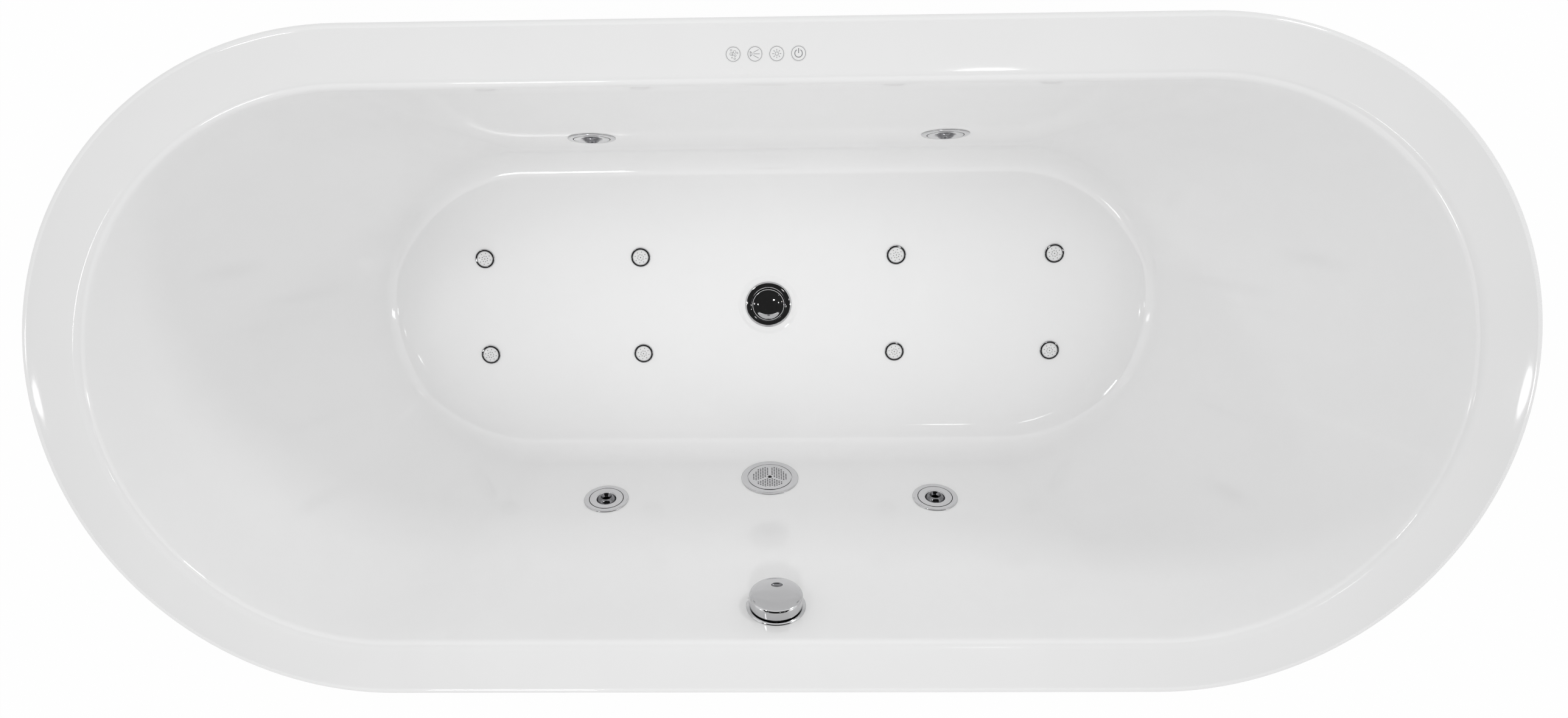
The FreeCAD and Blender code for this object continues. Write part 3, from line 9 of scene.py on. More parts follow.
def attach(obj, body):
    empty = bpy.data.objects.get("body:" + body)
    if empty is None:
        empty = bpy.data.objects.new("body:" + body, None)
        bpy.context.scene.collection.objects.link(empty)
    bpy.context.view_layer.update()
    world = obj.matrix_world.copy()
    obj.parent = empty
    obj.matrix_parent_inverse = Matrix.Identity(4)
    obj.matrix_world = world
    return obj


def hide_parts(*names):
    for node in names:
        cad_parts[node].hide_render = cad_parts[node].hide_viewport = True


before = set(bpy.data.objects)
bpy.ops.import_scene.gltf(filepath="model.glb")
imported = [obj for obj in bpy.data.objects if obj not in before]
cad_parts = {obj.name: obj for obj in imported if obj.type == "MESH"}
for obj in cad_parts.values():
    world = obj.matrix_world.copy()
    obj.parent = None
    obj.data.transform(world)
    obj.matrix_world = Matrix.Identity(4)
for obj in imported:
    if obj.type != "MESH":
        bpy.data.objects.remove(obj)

bl_info = {
    "name": "Jetted Bathtub",
    "version": (1, 0, 0),
    "blender": (4, 5, 0),
    "location": "View3D > Sidebar > Bathtub",
    "description": "Shell, fittings, pipework, frame and studio of a jetted bathtub",
    "category": "Object",
}

MM = 0.001
Y_AXIS = Vector((0, 1, 0))
Z_AXIS = Vector((0, 0, 1))
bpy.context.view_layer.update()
SMOOTH_ANGLE = math.radians(32)
CORNER = 0.4            # radius in mm of a profile's corner that names none
CORNER_SHARE = 0.45     # most of a profile's line that one rounded corner may take

# sizes in millimetres, as in the part itself; the rim's and mouth's lengths and widths are half-sizes
RIM_LENGTH = 900.0
RIM_WIDTH = 415.0
RIM_TOP = 600.0
RIM_SKIRT = 40.0
RIM_EDGE = 9.0
RIM_SHEET = 6.0
LIP_ROUND = 1.2
LIP_FILLET = 3.0
MOUTH_LENGTH = 828.0
MOUTH_WIDTH = 343.0
MOUTH_ROLL = 14.0
BASIN_DEPTH = 430.0
SKIN = 8.0
SIDE_SLOPE = math.tan(math.radians(15.0))
END_SLOPE_TOP = math.tan(math.radians(24.5))
END_SLOPE_BOTTOM = math.tan(math.radians(37.5))
COVE = 60.0
FLOOR = RIM_TOP - BASIN_DEPTH
RECESS_RADIUS = 45.0
RECESS_FOOT = 40.5      # where the recess's soft edge starts to rise
RECESS_BROW = 46.5      # and where it meets the floor
RECESS_DEPTH = 2.0
HOLE_LOOP = 0.8         # distances of two close loops, from the waste hole and from the recess's foot,
FOOT_LOOP = 1.0         # that keep the flat between them flat
SEAT = 0.2
JET_X = 242.0
JET_DEPTH = 297.0
SUCTION_DEPTH = 347.0
KNOB_X = 5.0
KNOB_DEPTH = 68.0
INJECTOR_X = (-430.0, -193.0, 193.0, 430.0)
INJECTOR_Y = (-75.0, 75.0)
TOUCH_X = -4.0
TOUCH_Y = 375.0
TOUCH_PITCH = 24.2
TOUCH_CAP = 8.74

# radii of the holes through the shell, and how far a cutter reaches each way
WASTE_HOLE = 23.5
JET_HOLE = 26.5
SUCTION_HOLE = 30.0
KNOB_HOLE = 27.0
INJECTOR_HOLE = 12.6
TOUCH_HOLE = 8.8
WALL_REACH = 40
FLOOR_REACH = 14
RIM_REACH = 10


# ---------------- places
def wall_half_width(depth, offset=0.0):
    """Half-width of the basin at a depth; the offset goes square out of the wall."""
    slant = math.atan(SIDE_SLOPE)
    return MOUTH_WIDTH - SIDE_SLOPE * depth + offset / math.cos(slant)


def end_slope(depth):
    """Slope of the ends, which grows steadily towards the floor."""
    return END_SLOPE_TOP + (END_SLOPE_BOTTOM - END_SLOPE_TOP) * depth / BASIN_DEPTH


def wall_half_length(depth, offset=0.0):
    slope = end_slope(depth)
    mean = (END_SLOPE_TOP + slope) / 2
    return MOUTH_LENGTH - mean * depth + offset / math.cos(math.atan(slope))


def wall_place(x, depth, side):
    """Point on the side wall and the direction square out of it, into the basin."""
    slant = math.atan(SIDE_SLOPE)
    point = Vector((x, side * wall_half_width(depth), RIM_TOP - depth))
    return point, Vector((0, -side * math.cos(slant), math.sin(slant)))


def jet_places():
    return [wall_place(x, JET_DEPTH, side) for side in (-1, 1) for x in (-JET_X, JET_X)]


def injector_places():
    return [Vector((x, y, FLOOR)) for y in INJECTOR_Y for x in INJECTOR_X]


def touch_places():
    return [Vector((TOUCH_X + (step - 1.5) * TOUCH_PITCH, TOUCH_Y, RIM_TOP)) for step in range(4)]


def upward(normal):
    """Direction up the wall, square to its normal; the tub's far side for a level surface."""
    flat = Z_AXIS - normal * normal.z
    level = flat.length < 0.01
    return Y_AXIS.copy() if level else flat.normalized()


def placing(origin, normal):
    """Matrix that puts a piece made round Z at a place in millimetres, and scales it to metres."""
    z = normal.normalized()
    y = upward(z)
    x = y.cross(z)
    turn = Matrix((x, y, z)).transposed().to_4x4()
    return Matrix.Scale(MM, 4) @ Matrix.Translation(origin) @ turn


# ---------------- mesh helpers
def finish_mesh(bm, name, materials, place=None, smooth=True, recalc=True):
    """Turn a bmesh into an object whose place is in its mesh.

    Normals are worked out before the mesh shrinks to metres, where small pieces would come out inverted.
    """
    if recalc:
        bmesh.ops.recalc_face_normals(bm, faces=bm.faces)
    if place:
        bm.transform(place)
    mesh = bpy.data.meshes.new(name)
    bm.to_mesh(mesh)
    bm.free()
    piece = bpy.data.objects.new(name, mesh)
    bpy.context.scene.collection.objects.link(piece)
    for surface in materials:
        mesh.materials.append(surface)
    if smooth:
        mesh.shade_smooth()
        mesh.set_sharp_from_angle(angle=SMOOTH_ANGLE)
    return piece


def spin_profile(bm, profile, segments):
    """Revolve (radius, height) points round Z; a profile that meets the axis is closed there."""
    verts = [bm.verts.new((radius, 0, height)) for radius, height in profile]
    edges = [bm.edges.new(pair) for pair in zip(verts, verts[1:])]
    bmesh.ops.spin(bm, geom=verts + edges, cent=(0, 0, 0), axis=Z_AXIS, angle=2 * math.pi, steps=segments,
                   use_merge=True, use_duplicate=False)
    bmesh.ops.remove_doubles(bm, verts=bm.verts, dist=1e-4)


def rounded(profile, closed, steps):
    """Profile with its corners rounded by small arcs; a point may carry its own radius as a third value."""
    count = len(profile)
    result = []
    for index, point in enumerate(profile):
        at = Vector(point[:2])
        radius = point[2] if len(point) > 2 else CORNER
        is_end = not closed and index in (0, count - 1)
        if radius <= 0 or is_end:
            result.append(tuple(at))
            continue
        before = Vector(profile[index - 1][:2]) - at
        after = Vector(profile[(index + 1) % count][:2]) - at
        reach = min(radius, CORNER_SHARE * before.length, CORNER_SHARE * after.length)
        first = at + before.normalized() * reach
        last = at + after.normalized() * reach
        for step in range(steps + 1):
            t = step / steps
            result.append(tuple(first * (1 - t) ** 2 + at * 2 * t * (1 - t) + last * t * t))
    return result


def lathe(name, profile, origin, normal, materials, segments=96, closed=True, steps=3, band=None):
    """Turned piece: a closed profile gives a ring, an open one starts and ends on the axis.

    A band of inner radius, outer radius and height below which its faces lie takes the second material.
    """
    bm = bmesh.new()
    points = rounded(profile, closed, steps)
    if closed:
        points.append(points[0])
    spin_profile(bm, points, segments)
    for face in bm.faces if band else ():
        middle = face.calc_center_median()
        if band[0] < middle.xy.length < band[1] and middle.z < band[2]:
            face.material_index = 1
    return finish_mesh(bm, name, materials, placing(origin, normal))


def join_pieces(name, pieces):
    """Join like pieces that stand for one node into one object."""
    with bpy.context.temp_override(active_object=pieces[0], selected_editable_objects=pieces,
                                   selected_objects=pieces, object=pieces[0]):
        bpy.ops.object.join()
    pieces[0].name = name
    return pieces[0]


def own(piece, body, *nodes, slot=None):
    """Attach a piece to the body it rides on and hide the nodes it stands for; the slot is not used."""
    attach(piece, body)
    if nodes:
        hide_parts(*nodes)


def stretch(bm, place, size):
    """Scale everything by three factors and move it to a place."""
    bmesh.ops.transform(bm, matrix=Matrix.Translation(place) @ Matrix.Diagonal((*size, 1)), verts=bm.verts)


def drills(name, finish, origin, normal, holes, height, depth, segments):
    """Cylinders to cut holes with, each given by its x, y and radius round the origin."""
    bm = bmesh.new()
    for x, y, radius in holes:
        made = bmesh.ops.create_cone(bm, cap_ends=True, segments=segments, radius1=radius, radius2=radius,
                                     depth=depth)
        bmesh.ops.translate(bm, verts=made["verts"], vec=(x, y, height))
    return finish_mesh(bm, name, [material(finish)], placing(origin, normal), smooth=False)


# ---------------- shader helpers
class Wire:
    """A shader socket that takes part in Python arithmetic."""

    def __init__(self, nodes, socket):
        self.nodes = nodes
        self.socket = socket

    def math(self, operation, first, second):
        return self.nodes.wire("ShaderNodeMath", {"operation": operation}, {0: first, 1: second})

    def __add__(self, other):
        return self.math("ADD", self, other)

    __radd__ = __add__

    def __sub__(self, other):
        return self.math("SUBTRACT", self, other)

    def __rsub__(self, other):
        return self.math("SUBTRACT", other, self)

    def __mul__(self, other):
        return self.math("MULTIPLY", self, other)

    __rmul__ = __mul__

    def __truediv__(self, other):
        return self.math("DIVIDE", self, other)

    def __rtruediv__(self, other):
        return self.math("DIVIDE", other, self)

    def clamped(self):
        return self.nodes.wire("ShaderNodeClamp", {}, {"Value": self})


class Nodes:
    """A node tree that is built up node by node."""

    def __init__(self, tree):
        self.tree = tree

    def feed(self, socket, value):
        if isinstance(value, Wire):
            self.tree.links.new(value.socket, socket)
        elif isinstance(value, (tuple, list)) and len(value) == 3 and socket.type == "RGBA":
            socket.default_value = (*value, 1)
        else:
            socket.default_value = value

    def node(self, kind, settings=None, values=None):
        made = self.tree.nodes.new(kind)
        for key, value in (settings or {}).items():
            if key == "stops":
                ramp = made.color_ramp
                while len(ramp.elements) < len(value):
                    ramp.elements.new(0.5)
                for element, (position, colour) in zip(ramp.elements, value):
                    element.position = position
                    element.color = (*colour, 1)
            else:
                setattr(made, key, value)
        for key, value in (values or {}).items():
            self.feed(made.inputs[key], value)
        return made

    def wire(self, kind, settings=None, values=None, output=0):
        return Wire(self, self.node(kind, settings, values).outputs[output])

    def rays(self, *kinds):
        """One for a ray of any of these kinds, otherwise nought."""
        path = self.node("ShaderNodeLightPath")
        found = [Wire(self, path.outputs["Is %s Ray" % kind]) for kind in kinds]
        return sum(found[1:], found[0]).clamped()


class Finish(Nodes):
    """A procedural material."""

    def __init__(self, name, **principled):
        self.material = bpy.data.materials.new(name)
        self.material.use_nodes = True
        super().__init__(self.material.node_tree)
        self.shader = self.tree.nodes["Principled BSDF"]
        self.put(principled)

    def put(self, values):
        for key, value in values.items():
            self.feed(self.shader.inputs[key.replace("_", " ")], value)

    def blend(self, share, first, second):
        """Mix Shader of two shaders' nodes."""
        mixed = self.node("ShaderNodeMixShader", {}, {"Fac": share})
        self.tree.links.new(first.outputs[0], mixed.inputs[1])
        self.tree.links.new(second.outputs[0], mixed.inputs[2])
        return mixed

    def place(self, scale=(1, 1, 1), turn=(0, 0, 0)):
        """Object coordinates, stretched and turned."""
        where = self.wire("ShaderNodeTexCoord", output="Object")
        return self.wire("ShaderNodeMapping", {}, {"Vector": where, "Rotation": turn, "Scale": scale})

    def noise(self, scale, detail=2.0, roughness=0.5, at=None, distortion=0.0):
        values = {"Vector": at or self.place(), "Scale": scale, "Detail": detail, "Roughness": roughness,
                  "Distortion": distortion}
        return self.wire("ShaderNodeTexNoise", {}, values)

    def cells(self, scale, output="Distance"):
        return self.wire("ShaderNodeTexVoronoi", {}, {"Vector": self.place(), "Scale": scale}, output)

    def mix(self, share, first, second):
        values = {"Factor": share, 6: first, 7: second}
        return self.wire("ShaderNodeMix", {"data_type": "RGBA"}, values, 2)

    def surface(self, colour, roughness, relief, depth, strength):
        """Feed the shader its colour, its roughness and a relief some metres deep; gives the material."""
        values = {"Height": relief, "Distance": depth, "Strength": strength}
        bump = self.wire("ShaderNodeBump", {}, values)
        self.put({"Base Color": colour, "Roughness": roughness, "Normal": bump})
        return self.material


def shade(value):
    return (value, value, value)


def times(colour, factor):
    """A colour made lighter or darker."""
    return tuple(min(1, channel * factor) for channel in colour)


def acrylic(looks):
    finish = Finish("gloss acrylic", Specular_IOR_Level=0.5, Coat_Weight=0.35, Coat_Roughness=0.03, IOR=1.49)
    broad = 0.6 * finish.noise(2.2, 2) + 0.4 * finish.noise(7, 4, 0.55, distortion=1.5)
    fine = finish.noise(260, 2)
    colour = finish.mix(broad, times(looks.acrylic_colour, 0.965), times(looks.acrylic_colour, 1.03))
    relief = finish.noise(9, 1) + 0.02 * fine
    return finish.surface(colour, 0.055 + 0.03 * broad + 0.015 * fine, relief, 0.00025, 0.6)


def glass_fibre():
    finish = Finish("sprayed glass fibre", Coat_Weight=0.25, Coat_Roughness=0.3)
    strands = finish.noise(140, 3, 0.6, finish.place((1, 6, 1), (0.3, 0.2, 0.7)), 1.2)
    crossing = finish.noise(150, 3, 0.6, finish.place((6, 1, 1), (0.2, 0.5, 0.2)), 1.2)
    blotch = finish.noise(7, 3)
    both = (strands + crossing) * 0.5
    cover = (both * 1.6 - 0.35 + 0.3 * blotch).clamped()
    colour = finish.mix(cover, (0.40, 0.39, 0.34), (0.70, 0.69, 0.64))
    return finish.surface(colour, 0.42 + 0.2 * both, both + 0.4 * blotch, 0.0012, 0.8)


def plated(name, colour, roughness):
    """Bright plating with a faint haze and hardly visible polishing marks."""
    finish = Finish(name, Metallic=1.0)
    haze = finish.noise(55, 3)
    marks = finish.noise(900, 2, 0.5, finish.place((1, 1, 0.15)))
    tint = finish.mix(haze, times(colour, 0.96), colour)
    return finish.surface(tint, roughness + 0.03 * haze + 0.015 * marks, haze, 0.00004, 0.5)


def moulded(name, colour, roughness, grain=600.0, depth=0.00006):
    """Moulded plastic with a fine spark-eroded grain and faint flow marks."""
    finish = Finish(name)
    grains = finish.noise(grain, 2)
    flow = finish.noise(14, 3, 0.55, finish.place((1, 1, 3)))
    tint = finish.mix(flow, times(colour, 0.93), times(colour, 1.04))
    return finish.surface(tint, roughness + 0.12 * flow + 0.05 * grains, grains, depth, 0.7)


def coated_steel(name, colour, roughness):
    """Powder coat with its orange peel and a few rubbed, lighter patches."""
    finish = Finish(name, Coat_Weight=0.2, Coat_Roughness=0.2)
    peel = finish.noise(420, 2)
    dust = finish.noise(11, 5, 0.65)
    tint = finish.mix(dust, times(colour, 0.86), times(colour, 1.1))
    return finish.surface(tint, roughness + 0.15 * dust, peel, 0.00018, 0.6)


def zinc_steel():
    finish = Finish("zinc-plated steel", Metallic=1.0)
    spangle = finish.cells(160)
    haze = finish.noise(90, 4)
    colour = finish.mix(haze, (0.52, 0.52, 0.50), (0.68, 0.67, 0.63))
    return finish.surface(colour, 0.28 + 0.25 * spangle + 0.1 * haze, haze, 0.0001, 0.5)


def rubber():
    finish = Finish("black rubber")
    grain = finish.noise(350, 3)
    worn = finish.mix(finish.noise(30, 4), shade(0.018), shade(0.045))
    return finish.surface(worn, 0.62 + 0.2 * grain, grain, 0.00015, 0.7)


def sawn_wood():
    finish = Finish("sawn softwood")
    grain = finish.noise(60, 5, 0.6, finish.place((0.05, 1, 1)), 0.6)
    rings = finish.noise(14, 2, 0.5, finish.place((0.08, 1, 1)), 1.5)
    tone = (grain * 0.5 + rings * 0.7 - 0.1).clamped()
    stops = ((0.2, (0.62, 0.44, 0.25)), (0.55, (0.50, 0.33, 0.17)), (0.85, (0.33, 0.19, 0.09)))
    colour = finish.wire("ShaderNodeValToRGB", {"stops": stops}, {"Fac": tone})
    return finish.surface(colour, 0.6 + 0.2 * grain, grain, 0.0006, 0.6)


def chipboard():
    finish = Finish("sealed chipboard")
    flakes = finish.mix(finish.cells(230, "Color"), (0.26, 0.17, 0.09), (0.47, 0.34, 0.20))
    size = finish.cells(120)
    colour = finish.mix(0.35 * finish.noise(12, 3), flakes, (0.36, 0.26, 0.15))
    return finish.surface(colour, 0.45 + 0.25 * size, size, 0.0004, 0.5)


def face_with_painted_glow():
    # the faint white emission is a painted glow that brightens the face; the lamp behind it is not lit
    finish = Finish("frosted face with painted glow", Coat_Weight=0.3, Emission_Color=(1, 1, 1), Emission_Strength=0.02)
    cloud = finish.noise(500, 2)
    return finish.surface(finish.mix(cloud, shade(0.74), shade(0.82)), 0.22, cloud, 0.00005, 0.4)


def print_ink(looks):
    finish = Finish("grey print", Roughness=0.3)
    ink = looks.ink_colour
    finish.put({"Base Color": finish.mix(finish.noise(1500, 2), times(ink, 0.92), times(ink, 1.08))})
    return finish.material


made_finishes = {}


def material(key):
    """Each finish is made once and shared."""
    looks = bpy.context.scene.bathtub_looks
    makers = {
        "acrylic": lambda: acrylic(looks),
        "fibre": glass_fibre,
        "chrome": lambda: plated("bright chrome", tuple(looks.chrome_colour), 0.04),
        # darker plating for the eyeballs, and painted shade on the walls of the knob's thumb mark
        "darker_plating_and_painted_shade": lambda: plated("darker chrome", (0.22, 0.22, 0.23), 0.07),
        "white_plastic": lambda: moulded("white moulding", (0.74, 0.74, 0.72), 0.34),
        "pipe": lambda: moulded("grey pipe plastic", (0.47, 0.49, 0.50), 0.30, 300, 0.0001),
        "black_plastic": lambda: moulded("black moulding", (0.028, 0.028, 0.03), 0.42, 500, 0.0001),
        "motor": lambda: coated_steel("dark motor paint", (0.05, 0.055, 0.065), 0.42),
        "steel": lambda: coated_steel("grey powder coat", (0.42, 0.44, 0.46), 0.36),
        "zinc": zinc_steel,
        "rubber": rubber,
        "wood": sawn_wood,
        "board": chipboard,
        "lamp": face_with_painted_glow,
        "ink": lambda: print_ink(looks),
        # near-black painted shade, put on the grooves round the flanges, the walls of small holes and the
        # sunk screw, where shade falls
        "painted_shade_recess": lambda: moulded("shaded recess", (0.012, 0.012, 0.013), 0.3),
    }
    if key not in made_finishes:
        made_finishes[key] = makers[key]()
    return made_finishes[key]


# ---------------- shell
ARC_STEPS = 80
STRAIGHT_STEPS = 16
LOOP_COUNT = 2 * (ARC_STEPS + STRAIGHT_STEPS)
FLOOR_HALF_LENGTH = 560     # outline that spreads the vertices of the round loops
FLOOR_HALF_WIDTH = 200
FLOOR_STRETCH = 1.6


def loop_direction(index):
    """Direction square to the outline at a loop's vertex, and its share along the straight side, -1 to 1."""
    if index <= ARC_STEPS:
        return math.radians(-90 + 180 * index / ARC_STEPS), 1.0
    index -= ARC_STEPS
    if index < STRAIGHT_STEPS:
        return math.radians(90), 1 - 2 * index / STRAIGHT_STEPS
    index -= STRAIGHT_STEPS
    if index <= ARC_STEPS:
        return math.radians(90 + 180 * index / ARC_STEPS), -1.0
    index -= ARC_STEPS
    return math.radians(-90), -1 + 2 * index / STRAIGHT_STEPS


def outline_point(angle, along, half_length, half_width, z):
    straight = (half_length - half_width) * along
    return Vector((straight + half_width * math.cos(angle), half_width * math.sin(angle), z))


def wall_slant(angle, depth):
    """Draft of the wall, measured square to the outline at one place."""
    lean = (end_slope(depth) - SIDE_SLOPE) * abs(math.cos(angle)) + SIDE_SLOPE
    return math.atan(lean)


def wall_point(angle, along, depth, offset):
    half_length = wall_half_length(depth, offset)
    half_width = wall_half_width(depth, offset)
    return outline_point(angle, along, half_length, half_width, RIM_TOP - depth)


def roll_depth(angle, radius, top_drop):
    """Depth at which the rolled edge meets the wall, found by repetition."""
    depth = top_drop
    for _ in range(6):
        depth = top_drop + radius * (1 - math.sin(wall_slant(angle, depth)))
    return depth


def cove_depth(angle, radius, floor_depth):
    """Depth at which the wall meets the cove, found by repetition."""
    depth = floor_depth
    for _ in range(12):
        depth = floor_depth - radius * (1 - math.sin(wall_slant(angle, min(depth, floor_depth))))
    return depth


def shell_station(kind, share, offset):
    """Function that places one loop of the shell's surface.

    The share runs from the top to the bottom of a roll, wall or cove, and across the floor to its middle.
    """
    top_drop = RIM_SHEET if offset else 0.0
    roll = MOUTH_ROLL - top_drop
    radius = COVE + offset
    floor_depth = BASIN_DEPTH + offset

    def place(index):
        angle, along = loop_direction(index)
        across = Vector((math.cos(angle), math.sin(angle), 0))
        start = roll_depth(angle, roll, top_drop)
        end = cove_depth(angle, radius, floor_depth)
        if kind == "wall":
            return wall_point(angle, along, start + (end - start) * share, offset)
        depth = start if kind == "roll" else end
        slant = wall_slant(angle, depth)
        into = Z_AXIS * math.sin(slant) - across * math.cos(slant)
        edge = wall_point(angle, along, depth, offset)
        if kind == "roll":
            turn = share * (math.pi / 2 - slant)
            return edge + (Z_AXIS * math.cos(turn) - across * math.sin(turn) - into) * roll
        turn = (1 - share) * (math.pi / 2 - slant) if kind == "cove" else 0.0
        point = edge + (into + across * math.sin(turn) - Z_AXIS * math.cos(turn)) * radius
        if kind == "cove":
            return point
        middle = ring_station(RECESS_RADIUS + SKIN, RIM_TOP - floor_depth)(index)
        point.z = middle.z
        return point.lerp(middle, share)

    return place


def loop_circle(index):
    """Angle round a circle for a loop's vertex, spread to match its place on the outline."""
    point = outline_point(*loop_direction(index), FLOOR_HALF_LENGTH, FLOOR_HALF_WIDTH, 0)
    return math.atan2(point.y * FLOOR_STRETCH, point.x)


def rim_station(inset, drop):
    """Loop along the rim's outline, so far inside its edge and so far below its top."""
    def place(index):
        return outline_point(*loop_direction(index), RIM_LENGTH - inset, RIM_WIDTH - inset, RIM_TOP - drop)
    return place


def ring_station(radius, z):
    def place(index):
        circle = loop_circle(index)
        return Vector((radius * math.cos(circle), radius * math.sin(circle), z))
    return place


def rim_blend(share):
    """Flat of the rim between the rolled inner edge and the outer edge."""
    inner = shell_station("roll", 0.0, 0.0)
    outer = rim_station(RIM_EDGE, 0)

    def place(index):
        return inner(index).lerp(outer(index), share)
    return place


def quarter(steps):
    """One less the sine and one less the cosine, at each step of a quarter turn."""
    for step in range(steps + 1):
        turn = math.radians(90 * step / steps)
        yield 1 - math.sin(turn), 1 - math.cos(turn)


def shell_stations():
    """Every loop of the closed shell, from the waste hole outwards, round the lip and back underneath."""
    low = FLOOR - RECESS_DEPTH
    radii = (WASTE_HOLE, WASTE_HOLE + HOLE_LOOP, RECESS_FOOT - FOOT_LOOP)
    stations = [ring_station(radius, low) for radius in radii]
    for step in range(9):
        share = step / 8
        rise = RECESS_DEPTH * (3 * share ** 2 - 2 * share ** 3)
        stations.append(ring_station(RECESS_FOOT + (RECESS_BROW - RECESS_FOOT) * share, low + rise))
    stations += [shell_station("floor", share, 0.0) for share in (1.0, 0.8, 0.5, 0.25, 0.08)]
    stations.append(shell_station("cove", 1.0, 0.0))
    for kind, steps in (("cove", 14), ("wall", 14), ("roll", 8)):
        stations += [shell_station(kind, 1 - step / steps, 0.0) for step in range(1, steps + 1)]
    stations += [rim_blend(share) for share in (0.25, 0.5, 0.75)]
    stations += [rim_station(RIM_EDGE * rest, RIM_EDGE * fall) for rest, fall in quarter(8)]
    stations += [rim_station(LIP_ROUND * fall, RIM_SKIRT - LIP_ROUND * rest) for rest, fall in quarter(4)]
    stations += [rim_station(RIM_SHEET - LIP_ROUND * rest, RIM_SKIRT - LIP_ROUND * fall)
                 for rest, fall in quarter(4)]
    stations += [rim_station(RIM_SHEET + LIP_FILLET * fall, RIM_SHEET + LIP_FILLET * rest)
                 for rest, fall in quarter(4)]
    stations.append(shell_station("roll", 0.0, SKIN))
    for kind, steps in (("roll", 5), ("wall", 12), ("cove", 10)):
        stations += [shell_station(kind, step / steps, SKIN) for step in range(1, steps + 1)]
    stations += [shell_station("floor", share, SKIN) for share in (0.3, 0.7, 1.0)]
    under = low - SKIN
    stations += [ring_station(RECESS_RADIUS + SKIN, under), ring_station(WASTE_HOLE, under)]
    return stations


def shell_mesh():
    """Closed shell: one loop extruded from station to station."""
    bm = bmesh.new()
    order = bm.verts.layers.int.new("order")
    loop = bmesh.ops.create_circle(bm, segments=LOOP_COUNT, radius=1.0)["verts"]
    for index, vert in enumerate(loop):
        vert[order] = index
    edges = list(bm.edges)
    for count, station in enumerate(shell_stations()):
        if count:
            grown = bmesh.ops.extrude_edge_only(bm, edges=edges)["geom"]
            loop = {item for item in grown if isinstance(item, bmesh.types.BMVert)}
            edges = [item for item in grown if isinstance(item, bmesh.types.BMEdge)
                     and item.verts[0] in loop and item.verts[1] in loop]
        for vert in loop:
            vert.co = station(vert[order])
    bmesh.ops.remove_doubles(bm, verts=bm.verts, dist=1e-3)
    bmesh.ops.holes_fill(bm, edges=[edge for edge in bm.edges if edge.is_boundary], sides=0)
    return bm


def pierce(piece, tool, angle):
    """Cut a tool's shape out of a piece for good; edges sharper than the angle in degrees stay sharp."""
    change = piece.modifiers.new("cut", "BOOLEAN")
    change.operation = "DIFFERENCE"
    change.solver = "EXACT"
    change.material_mode = "TRANSFER"
    change.object = tool
    graph = bpy.context.evaluated_depsgraph_get()
    result = bpy.data.meshes.new_from_object(piece.evaluated_get(graph))
    piece.modifiers.clear()
    piece.data = result
    bpy.data.objects.remove(tool)
    result.shade_smooth()
    result.set_sharp_from_angle(angle=math.radians(angle))


# ---------------- settings
class BathtubLooks(bpy.types.PropertyGroup):
    """Sizes and colours that can be changed."""

    acrylic_colour: bpy.props.FloatVectorProperty(
        name="Acrylic", description="Colour of the shell", subtype="COLOR", default=(0.90, 0.90, 0.90),
        min=0, max=1)
    chrome_colour: bpy.props.FloatVectorProperty(
        name="Chrome", description="Tint of the bright plating", subtype="COLOR", default=(0.62, 0.62, 0.63),
        min=0, max=1)
    ink_colour: bpy.props.FloatVectorProperty(
        name="Print", description="Colour of the signs on the touch pads", subtype="COLOR",
        default=(0.33, 0.33, 0.34), min=0, max=1)
    sign_line: bpy.props.FloatProperty(
        name="Sign line", description="Width of the lines of the printed signs", subtype="DISTANCE",
        default=0.00062, min=0.0001, max=0.003)
    ground_size: bpy.props.FloatProperty(
        name="Floor", description="Half-size of the studio floor", subtype="DISTANCE", default=9.0,
        min=3, max=30)
    lamp_level: bpy.props.FloatProperty(
        name="Lamps", description="Level of the soft lamps", default=1.0, min=0, max=5)


# ---------------- operators
class BATHTUB_OT_shell(bpy.types.Operator):
    """Make the acrylic shell with its rolled edges, basin and fitting holes"""
    bl_idname = "bathtub.shell"
    bl_label = "Shell"

    # height of a face's normal that makes it look down, or upright
    downward = -0.17
    upright = 0.3

    # from and to, in mm: the lip's inner face, below the top and in from the edge, and the lip's bare foot
    lip_drop = (3, RIM_SKIRT - 2)
    lip_inset = (3, 12)
    foot_drop = (RIM_SKIRT - 1, RIM_SKIRT + 5)

    def execute(self, context):
        shell = finish_mesh(shell_mesh(), "acrylic_shell", [material("acrylic"), material("fibre")],
                            Matrix.Scale(MM, 4))
        holes = [(*place, JET_HOLE, WALL_REACH) for place in jet_places()]
        holes.append((*wall_place(0, SUCTION_DEPTH, -1), SUCTION_HOLE, WALL_REACH))
        holes.append((*wall_place(KNOB_X, KNOB_DEPTH, -1), KNOB_HOLE, WALL_REACH))
        holes += [(place, Z_AXIS, INJECTOR_HOLE, FLOOR_REACH) for place in injector_places()]
        holes += [(place, Z_AXIS, TOUCH_HOLE, RIM_REACH) for place in touch_places()]
        cutters = [drills("hole_%d" % number, "acrylic", place, normal, [(0, 0, radius)], 0, 2 * reach, 64)
                   for number, (place, normal, radius, reach) in enumerate(holes)]
        pierce(shell, join_pieces("holes", cutters), 40)
        self.paint_underside(shell.data)
        own(shell, "tub", "tub_shell", slot="tub_acrylic")
        return {"FINISHED"}

    def paint_underside(self, mesh):
        """The sprayed backing covers every face that looks down or into the lip, but not the lip's foot."""
        for face in mesh.polygons:
            centre = face.center / MM
            drop = RIM_TOP - centre.z
            backed = face.normal.z < self.downward
            if abs(face.normal.z) < self.upright and self.lip_drop[0] < drop < self.lip_drop[1]:
                straight = max(0.0, abs(centre.x) - (RIM_LENGTH - RIM_WIDTH))
                inset = RIM_WIDTH - math.hypot(straight, centre.y)
                in_lip = self.lip_inset[0] < inset < self.lip_inset[1]
                backed = backed or (in_lip and face.normal.xy.dot(centre.xy) < 0)
            at_foot = self.foot_drop[0] <= drop <= self.foot_drop[1]
            face.material_index = int(backed and not at_foot)


